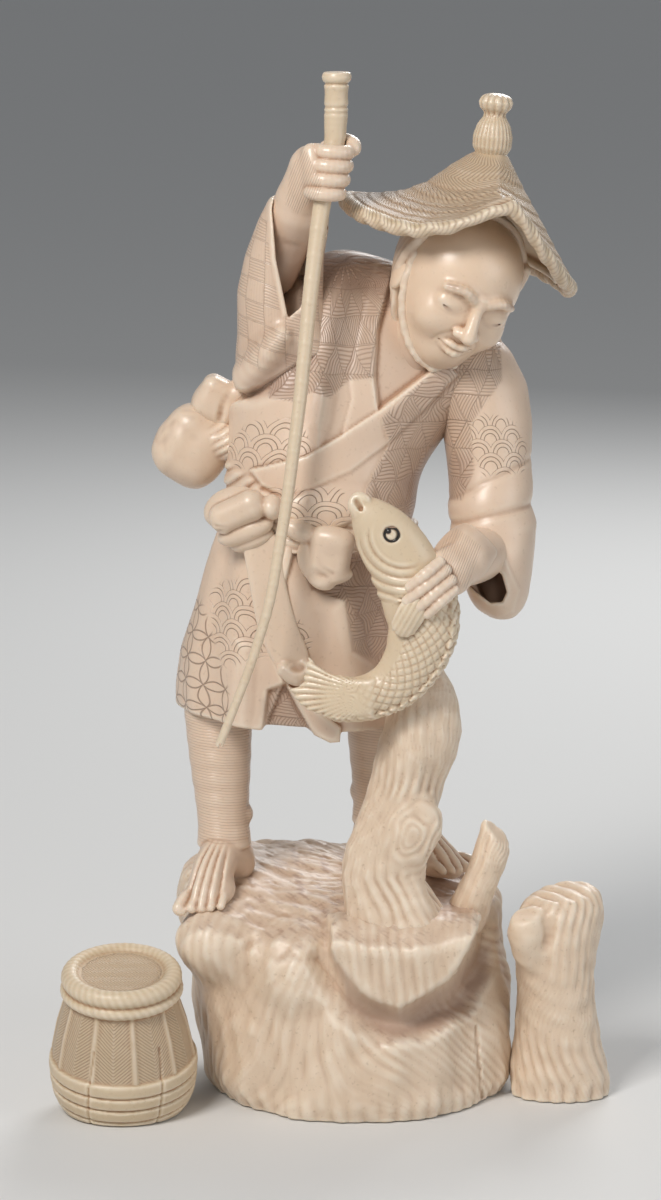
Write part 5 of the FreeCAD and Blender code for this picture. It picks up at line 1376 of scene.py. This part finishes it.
def hat_extra(p, n):
    q = (p - HAT_MIDDLE) @ HAT_TURN
    x, y, z = q.T
    level, reach, turn = hat_level(x, y)
    top = (z > level - 0.4) * 1.0
    wrap = 0.68 * np.stack([np.radians(turn) * HAT_REACH * np.maximum(reach, 0.35), reach * HAT_REACH,
                            0 * reach], 1)
    rows = step(reach, 0.12, 0.2) * top
    ticks = top * (step(reach, 0.42, 0.44) * (1 - step(reach, 0.53, 0.55)) + step(reach, 0.60, 0.62)
                   * (1 - step(reach, 0.74, 0.76)))
    # warm is painted shade on the underside of the brim
    warm = (1 - top) * step(reach, 0.3, 0.5) * 0.20
    return {"wrap": wrap, "zone": zones(p, np.maximum(rows, 0.55 * step(reach, 0.88, 0.9)), ticks, 0),
            "stain": warm + (0.27 + 0.16 * step(-x, 2, 22)) * top * (reach < 0.93)}


piece("hat", "straw", hat_field, (-6, -38, 212), (67, 34, 266), 0.42, hat_extra)


def tassel_field(p):
    foot = HAT_MIDDLE + HAT_TURN @ np.array((-0.8, 0, 27.0))
    q = (p - foot) @ spin(5)
    x, y, z = q.T
    turn = np.arctan2(y, x)
    reach = np.hypot(x, y)
    line = table(z, [(-2, 2.0), (0, 3.6), (2.5, 5.1), (5.5, 5.2), (8.5, 4.4), (10.8, 2.9), (11.8, 2.7),
                     (13.0, 4.0), (14.6, 4.5), (16.4, 3.6), (17.4, 1.0)])
    flute = 0.34 * wave(turn * 5, 1.26) * (z < 11) + 0.45 * wave(turn * 5 + 0.6, 2.6) * (z >= 11)
    gap = (reach - line - flute + 0.15) * 0.8
    return smax(smax(gap, z - 17.0, 1.2), -1.5 - z, 0.5)


piece("hat_tassel", "rod", tassel_field,
      (28, -10, 252), (50, 8, 278), 0.3, plain_extra(0.05))

# Fish: bent into a hook, scaled on its back, smooth along its belly
FISH_Y = -38.5
EYE_PLACE = (391.5, 534.5)
FISH_LINE = [(359, 504, 3.0, 3.4), (368, 514, 5.4, 4.4), (381, 530, 7.6, 5.2), (393, 547, 8.7, 5.6),
             (404, 566, 9.2, 5.8), (414, 588, 9.5, 5.9), (420, 608, 9.6, 5.9), (422, 626, 9.1, 5.8),
             (418, 645, 8.5, 5.6), (410, 663, 7.6, 5.2), (396, 681, 6.7, 4.7), (378, 692, 6.0, 4.2),
             (358, 698, 5.6, 3.6), (341, 698, 5.6, 2.9)]


FAN = [(372, 681), (350, 680), (328, 674), (308.5, 657.5), (306, 668), (303, 684), (290.5, 689),
       (297, 701), (309, 711), (338, 718), (372, 716)]


def fish_run(p):
    """What along() measures on the fish, and the part of it that has scales."""
    rows = [(*spot(px, py, FISH_Y), wide, deep) for px, py, wide, deep in FISH_LINE]
    got, near, total = along(p, rows, (0, 1, 0))
    s = got[:, 0]
    return got, near, step(s, 30, 33) * (1 - step(s, total - 7, total - 4))


def fish_field(p):
    y = p[:, 1]
    got, near, scaled = fish_run(p)
    s, a, b, wide = got[:, :4].T
    gap = ribbon(got, near, 0.8)
    px, py = photo(p)
    back_side = step(a * -1, -wide * 0.62, -wide * 0.45)
    girth = a * 1.15
    u, v = (s + girth) / 3.0, (s - girth) / 3.0
    tip = np.minimum(np.abs(u - np.round(u)), np.abs(v - np.round(v))) * 2
    gap = gap - (0.30 * step(tip, 0.0, 0.42) - 0.12) * scaled * back_side
    rope = step(-a / wide, 0.80, 0.90) * step(s, 26, 30)
    gap = gap - rope * (0.25 + 0.5 * wave(s + b * 0.8, 2.3))
    gill = np.exp(-((s - 29.0 + 0.055 * (a + 1) ** 2) / 0.55) ** 2)
    cheek = 1 - step(a / wide, 0.35, 0.75)
    gap = gap + 0.75 * gill * cheek - 0.6 * step(s, 20, 28.2) * (1 - step(s, 28.2, 28.9)) * cheek
    ticks = (step(s, 24.6, 25.2) * (1 - step(s, 28.0, 28.4)) * (1 - wave(a + 0.3 * s, 2.3)) ** 2
             * step(-a / wide, -0.2, 0.2))
    gap = gap + 0.4 * ticks
    round_eye = np.hypot(px - 404, py - 533) * PIXEL
    throat = (step(round_eye, 7.6, 9.0) * (1 - step(px, 404, 424)) * step(s, 5, 9)
              * (1 - step(s, 26.5, 28.5)))
    gap = gap - throat * (0.5 * wave(round_eye + 0.25, 2.5) - 0.25)
    mouth = tube(p, seen((356, 501, FISH_Y - 3.4, 0.85), (361, 509, FISH_Y - 3.0, 0.7)), 0.2)
    lips = tube(p, seen((356, 513, FISH_Y - 2, 1.2), (353, 504, FISH_Y - 2, 1.3),
                        (358, 497, FISH_Y - 1.5, 1.3), (366, 499, FISH_Y - 2, 1.1)), 0.3)
    gap = smin(gap, lips, 1.2)
    gap = smax(gap, -mouth, 0.5)
    fan_shape = -depth_in(px, py, FAN) * PIXEL
    fan_deep = 1.2 + 2.2 * step(px, 300, 352)
    rays = np.arctan2(py - 694, 372 - px) * 26
    tail = smax(fan_shape, np.abs(y - FISH_Y + 0.04 * (px - 350)) - fan_deep, 1.6)
    tail = tail - 0.5 * (wave(rays, 2.5) - 0.6) * (1 - step(px, 350, 370))
    gap = smin(gap, tail, 2.0)
    fin_rows = seen((424, 592, FISH_Y - 6, 2.4, 1.6), (412, 612, FISH_Y - 6.6, 3.6, 1.6),
                    (404, 626, FISH_Y - 6.2, 3.2, 1.3))
    fin, fin_near, _ = along(p, fin_rows, (0, 1, 0))
    paddle = ribbon(fin, fin_near, 0.9) - 0.25 * wave(fin[:, 1], 1.4)
    gap = smin(gap, paddle, 0.4)
    eye = np.hypot(px - EYE_PLACE[0], py - EYE_PLACE[1])
    near_side = y < FISH_Y
    return (gap + 0.5 * np.exp(-((eye - 7.0) / 1.2) ** 2) * near_side - 0.3 * step(-eye, -6, -3)
            * near_side)


def fish_extra(p, n):
    px, py = photo(p)
    scaled = fish_run(p)[2]
    ring = step(-np.abs(np.hypot(px - EYE_PLACE[0], py - EYE_PLACE[1]) - 7.0), -1.6, -0.5)
    pupil = step(-np.hypot(px - 388.5, py - 531.5), -3.2, -2.2)
    eye = np.maximum(ring, pupil)
    return {"stain": np.clip(eye * 3.0 * (p[:, 1] < FISH_Y + 8) + 0.05 * scaled, 0, 1)}


piece("fish", "fish", fish_field, (-22, -50, 98), (40, -28, 176), 0.36, fish_extra)


def eyes_field(p):
    """An inlaid ring with a small pupil, on each side of the head."""
    x, _, z = spot(*EYE_PLACE, FISH_Y - 5.2)
    out = None
    for depth in (FISH_Y - 5.1, FISH_Y + 5.1):
        ring = np.hypot(np.hypot(p[:, 0] - x, p[:, 2] - z) - 1.85, p[:, 1] - depth) - 0.34
        pupil = egg(p, (x - 0.75, depth, z + 0.75), (0.75, 0.6, 0.75))
        ring = np.minimum(ring, pupil)
        out = ring if out is None else np.minimum(out, ring)
    return out


piece("fish_eyes", "eye", eyes_field, (8, -48, 150), (18, -28, 162), 0.16)


# Pouch and toggle at the right hip
def pouch_field(p):
    centre = np.array(spot(193, 446, 4.5))
    q = (p - centre) @ spin(33)
    gap = slab(q, (0, 0, 0), (9.6, 7.8, 10.4), None, 6.4)
    gap = smin(gap, egg(q, (0, 0, 0), (10.2, 8.2, 10.6)), 2.0)
    flat = np.exp(-((q[:, 0] + 2.0) / 4.4) ** 2)
    gap = gap + 0.5 * flat * step(-q[:, 1], 2, 6)
    neck = tube(p, seen((205, 432, 4, 5.0), (218, 436, 2, 3.8), (229, 441, 0, 4.6)), 0.8)
    neck = neck - 0.6 * wave(p[:, 2] - 0.6 * p[:, 0], 2.4) + 0.2
    return smin(gap, neck, 1.5) + 0.15 * rumple(p, 8, 12)


def pouch_extra(p, n):
    px, py = photo(p)
    edge = inside(px, py, [(155, 440), (175, 412), (200, 408), (190, 425), (165, 452)], 10)
    return {"stain": np.clip(0.22 * edge * (0.5 + rumple(p, 2.5, 4)) + 0.25 * step(-p[:, 2], -174, -170),
                             0, 0.5)}


piece("pouch", "fold", pouch_field, (-57, -10, 163), (-25, 17, 193), 0.42, pouch_extra)


def toggle_field(p):
    centre = np.array(spot(219, 400, 4.5))
    q = (p - centre) @ spin(28)
    gap = slab(q, (0, 0, 0), (6.2, 5.6, 5.8), None, 3.0)
    gap = smin(gap, egg(q, (0, 0, -1.5), (6.8, 6.2, 6.4)), 1.5)
    groove = tube(q, [(1.6, -6.4, 6.0, 0.9), (1.2, -6.6, 1.0, 0.8), (2.4, -5.8, -4.0, 0.6)], 0.3)
    gap = smax(gap, -groove, 1.0)
    link = tube(p, seen((236, 393, 3, 3.6), (246, 392, 1, 3.0)), 0.6)
    return smin(gap, link, 1.0)


piece("pouch_toggle", "fold", toggle_field,
      (-45, -8, 180), (-18, 15, 202), 0.4, plain_extra(0.05))


# Creel: staves with feathered faces, hoops round the foot and a rope rim
CREEL_MIDDLE = np.array((-60.6, -28.0, 0.0))
CREEL_TILT = nod(12)
CREEL_LINE = [(-6, 11.0), (-2, 13.2), (0, 14.6), (3, 17.2), (6, 18.6), (10, 19.3), (15, 19.6),
              (18, 19.2), (26, 17.6), (34, 15.2), (40, 14.0)]


def creel_parts(p):
    q = (p - CREEL_MIDDLE) @ CREEL_TILT
    x, y = q[:, 0], q[:, 1]
    turn = np.arctan2(x, -y)
    return q, turn, np.hypot(x, y)


def creel_field(p):
    q, turn, reach = creel_parts(p)
    x, y, z = q.T
    line = table(z, CREEL_LINE)
    hoops = 0
    for low, high in ((1.5, 5.0), (5.4, 9.0), (9.4, 12.8), (13.2, 17.0)):
        hoops = hoops + 0.75 * step(z, low - 0.25, low + 0.45) * (1 - step(z, high - 0.4, high + 0.2))
    stave = ((turn / (2 * math.pi) * 10 + 0.15) % 1.0 - 0.5)
    rib = (0.55 * np.exp(-(np.abs(stave) / 0.075) ** 2)
           + 0.12 * np.exp(-((0.5 - np.abs(stave)) / 0.05) ** 2))
    wall = step(z, 16.8, 17.6)
    gap = (reach - line - hoops - wall * rib) * 0.9
    gap = smax(gap, z - 39.0, 0.8)
    rim = None
    for radius, height, fat in ((15.0, 36.6, 1.7), (13.9, 40.2, 2.5)):
        ring = np.hypot(reach - radius, z - height)
        bend = np.arctan2(z - height, reach - radius)
        ring = ring - fat - 0.05 * np.sin(turn * 46 + bend * 2.5)
        rim = ring if rim is None else smin(rim, ring, 0.5)
    gap = smin(gap, rim, 0.6)
    gap = smin(gap, smax(reach - 12.5, np.abs(z - 38.8) - 2.6, 0.5), 0.5)
    well = smax(reach - 10.6, 41.3 - z + 0.15 * wave(x, 1.2) * wave(y, 1.2), 0.5)
    gap = smax(gap, -well, 0.5)
    for bearing in (-0.42, 0.62):
        off = (turn - bearing - 0.004 * (z - 20)) * reach
        gap = gap + 0.5 * np.exp(-(off / 0.28) ** 2) * (z < 26) * (reach > 11)
    return smax(gap, -p[:, 2], 0.6)


def creel_extra(p, n):
    q, turn, reach = creel_parts(p)
    x, y, z = q.T
    lid = ((reach < 10.8) & (z > 36)) * 1.0
    wall = step(z, 17, 18) * (1 - step(z, 33.5, 34.5))
    stave = (turn / (2 * math.pi) * 10 + 0.15) % 1.0 - 0.5
    feather = z + np.abs(stave) * 9.5
    wrap = np.stack([feather + (x - feather) * lid, y * lid, 0 * turn], 1)
    strokes = np.maximum(lid * 0.8, wall * (1 - step(-np.abs(stave), -0.09, -0.06)))
    return {"wrap": wrap, "zone": zones(p, strokes, 0, 0), "stain": 0.2 * wall + 0.2 * lid}


piece("creel", "straw", creel_field, (-83, -53, -2), (-38, -4, 50), 0.42, creel_extra)

# Loose stump
LOG_MIDDLE = (58.6, -15.4)
LOG_ROWS = [(-3, 1.0, -0.5, 12.6, 10.8), (0, 1.0, -0.5, 12.8, 11.0), (6, 0.8, -0.4, 13.0, 11.4),
            (16, 0.2, 0, 11.6, 11.0), (28, -0.4, 0, 11.0, 10.8), (38, -0.6, 0, 11.8, 11.2),
            (47, 0.2, 0.4, 12.6, 11.6), (53, 1.2, 1.0, 12.0, 10.8), (57, 1.8, 1.4, 9.4, 8.8),
            (60, 2.0, 1.6, 5.0, 5.0)]


def log_field(p):
    q = p - np.array((*LOG_MIDDLE, 0))
    turn_sway = 0.30 * np.sin(q[:, 2] / 13)

    def fold(turn, z):
        cut = grooved(q, (turn + turn_sway) * 12, z, 3.6, 0.5, 4)
        return (cut + (0.9 * wave(turn * 12, 4.6) - 0.6) * (1 - step(z, 1, 8))
                + 0.8 * np.cos(2 * turn + z / 12))
    gap = loft(q, LOG_ROWS, fold)
    peak = 56.5 + 0.14 * q[:, 0] + 0.12 * q[:, 1] + 0.9 * wave(q[:, 0] * 0.8 + q[:, 1] * 0.6, 4.2)
    gap = smax(gap, (q[:, 2] - peak) * 0.9, 2.6)
    knob = tube(q, [(-7.0, -6.5, 40, 4.6), (-8.6, -8.2, 47, 5.2), (-8.8, -8.6, 51.5, 4.4)], 0.8)
    knob = smax(knob, (q - np.array((-8.8, -8.6, 53.6))) @ np.array((-0.2, -0.25, 0.95)), 1.2)
    gap = smin(gap, knob, 1.6)
    cleft = tube(q, [(-3.2, -11.0, 57, 1.2), (-2.6, -11.6, 50, 1.3), (-4.0, -12.2, 44, 0.6)], 0.3)
    gap = smax(gap, -cleft, 1.4)
    return smax(gap + 0.2 * rumple(p, 7, 6), -p[:, 2], 0.5)


piece("small_stump", "stump", log_field, (42, -31, -2), (75, 1, 62), 0.45, plain_extra())

# Dowels stay as carried over, in their own ivory
for name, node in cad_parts.items():
    if name.endswith(("dowel", "dowels")):
        node.data.materials.clear()
        node.data.materials.append(MAT["dowel"])

# Floor, light and camera
bpy.ops.mesh.primitive_plane_add(size=24, location=(0, 0, -0.0002))
floor = bpy.context.object
floor.name = "pale_floor"
ground = bpy.data.materials.new("pale_floor")
ground.use_nodes = True
grain = ground.node_tree.nodes.new("ShaderNodeTexNoise")
grain.inputs["Scale"].default_value = 3
ramp = ground.node_tree.nodes.new("ShaderNodeValToRGB")
ramp.color_ramp.elements[0].color = (0.70, 0.70, 0.69, 1)
ramp.color_ramp.elements[1].color = (0.74, 0.74, 0.73, 1)
ground.node_tree.links.new(grain.outputs["Fac"], ramp.inputs[0])
matt = ground.node_tree.nodes["Principled BSDF"]
ground.node_tree.links.new(ramp.outputs[0], matt.inputs["Base Color"])
matt.inputs["Roughness"].default_value = 0.8
floor.data.materials.append(ground)

world = bpy.data.worlds.new("studio")
bpy.context.scene.world = world
world.use_nodes = True
world.node_tree.nodes["Background"].inputs[0].default_value = (0.93, 0.96, 1.0, 1)
world.node_tree.nodes["Background"].inputs[1].default_value = 0.24


def lamp(name, place, aim, size, power, colour):
    light = bpy.data.lights.new(name, "AREA")
    light.size = size
    light.energy = power
    light.color = colour
    made = bpy.data.objects.new(name, light)
    bpy.context.scene.collection.objects.link(made)
    made.location = place
    gaze = np.array(aim, float) - np.array(place, float)
    made.rotation_euler = Vector(gaze).to_track_quat("-Z", "Y").to_euler()


lamp("key", (-0.50, -0.85, 1.00), (0, 0, 0.14), 0.42, 12.4, (1.0, 0.97, 0.94))
lamp("fill", (0.95, -0.55, 0.45), (0, 0, 0.14), 0.7, 2.6, (0.94, 0.97, 1.0))
lamp("back", (0.3, 0.9, 0.7), (0, 0, 0.16), 0.5, 5.0, (1.0, 1.0, 1.0))

eye = bpy.data.cameras.new("camera")
eye.sensor_fit = "VERTICAL"
eye.sensor_height = 24
eye.lens = FOCAL / FRAME_HIGH * 24
eye.clip_start, eye.clip_end = 0.05, 60
camera = bpy.data.objects.new("camera", eye)
bpy.context.scene.collection.objects.link(camera)
camera.location = (TARGET[0] * MM, -EYE_REACH * COS * MM, (TARGET[2] + EYE_REACH * SIN) * MM)
camera.rotation_euler = (math.radians(90) - PITCH, 0, 0)
bpy.context.scene.camera = camera
bpy.context.scene.view_settings.view_transform = "Standard"
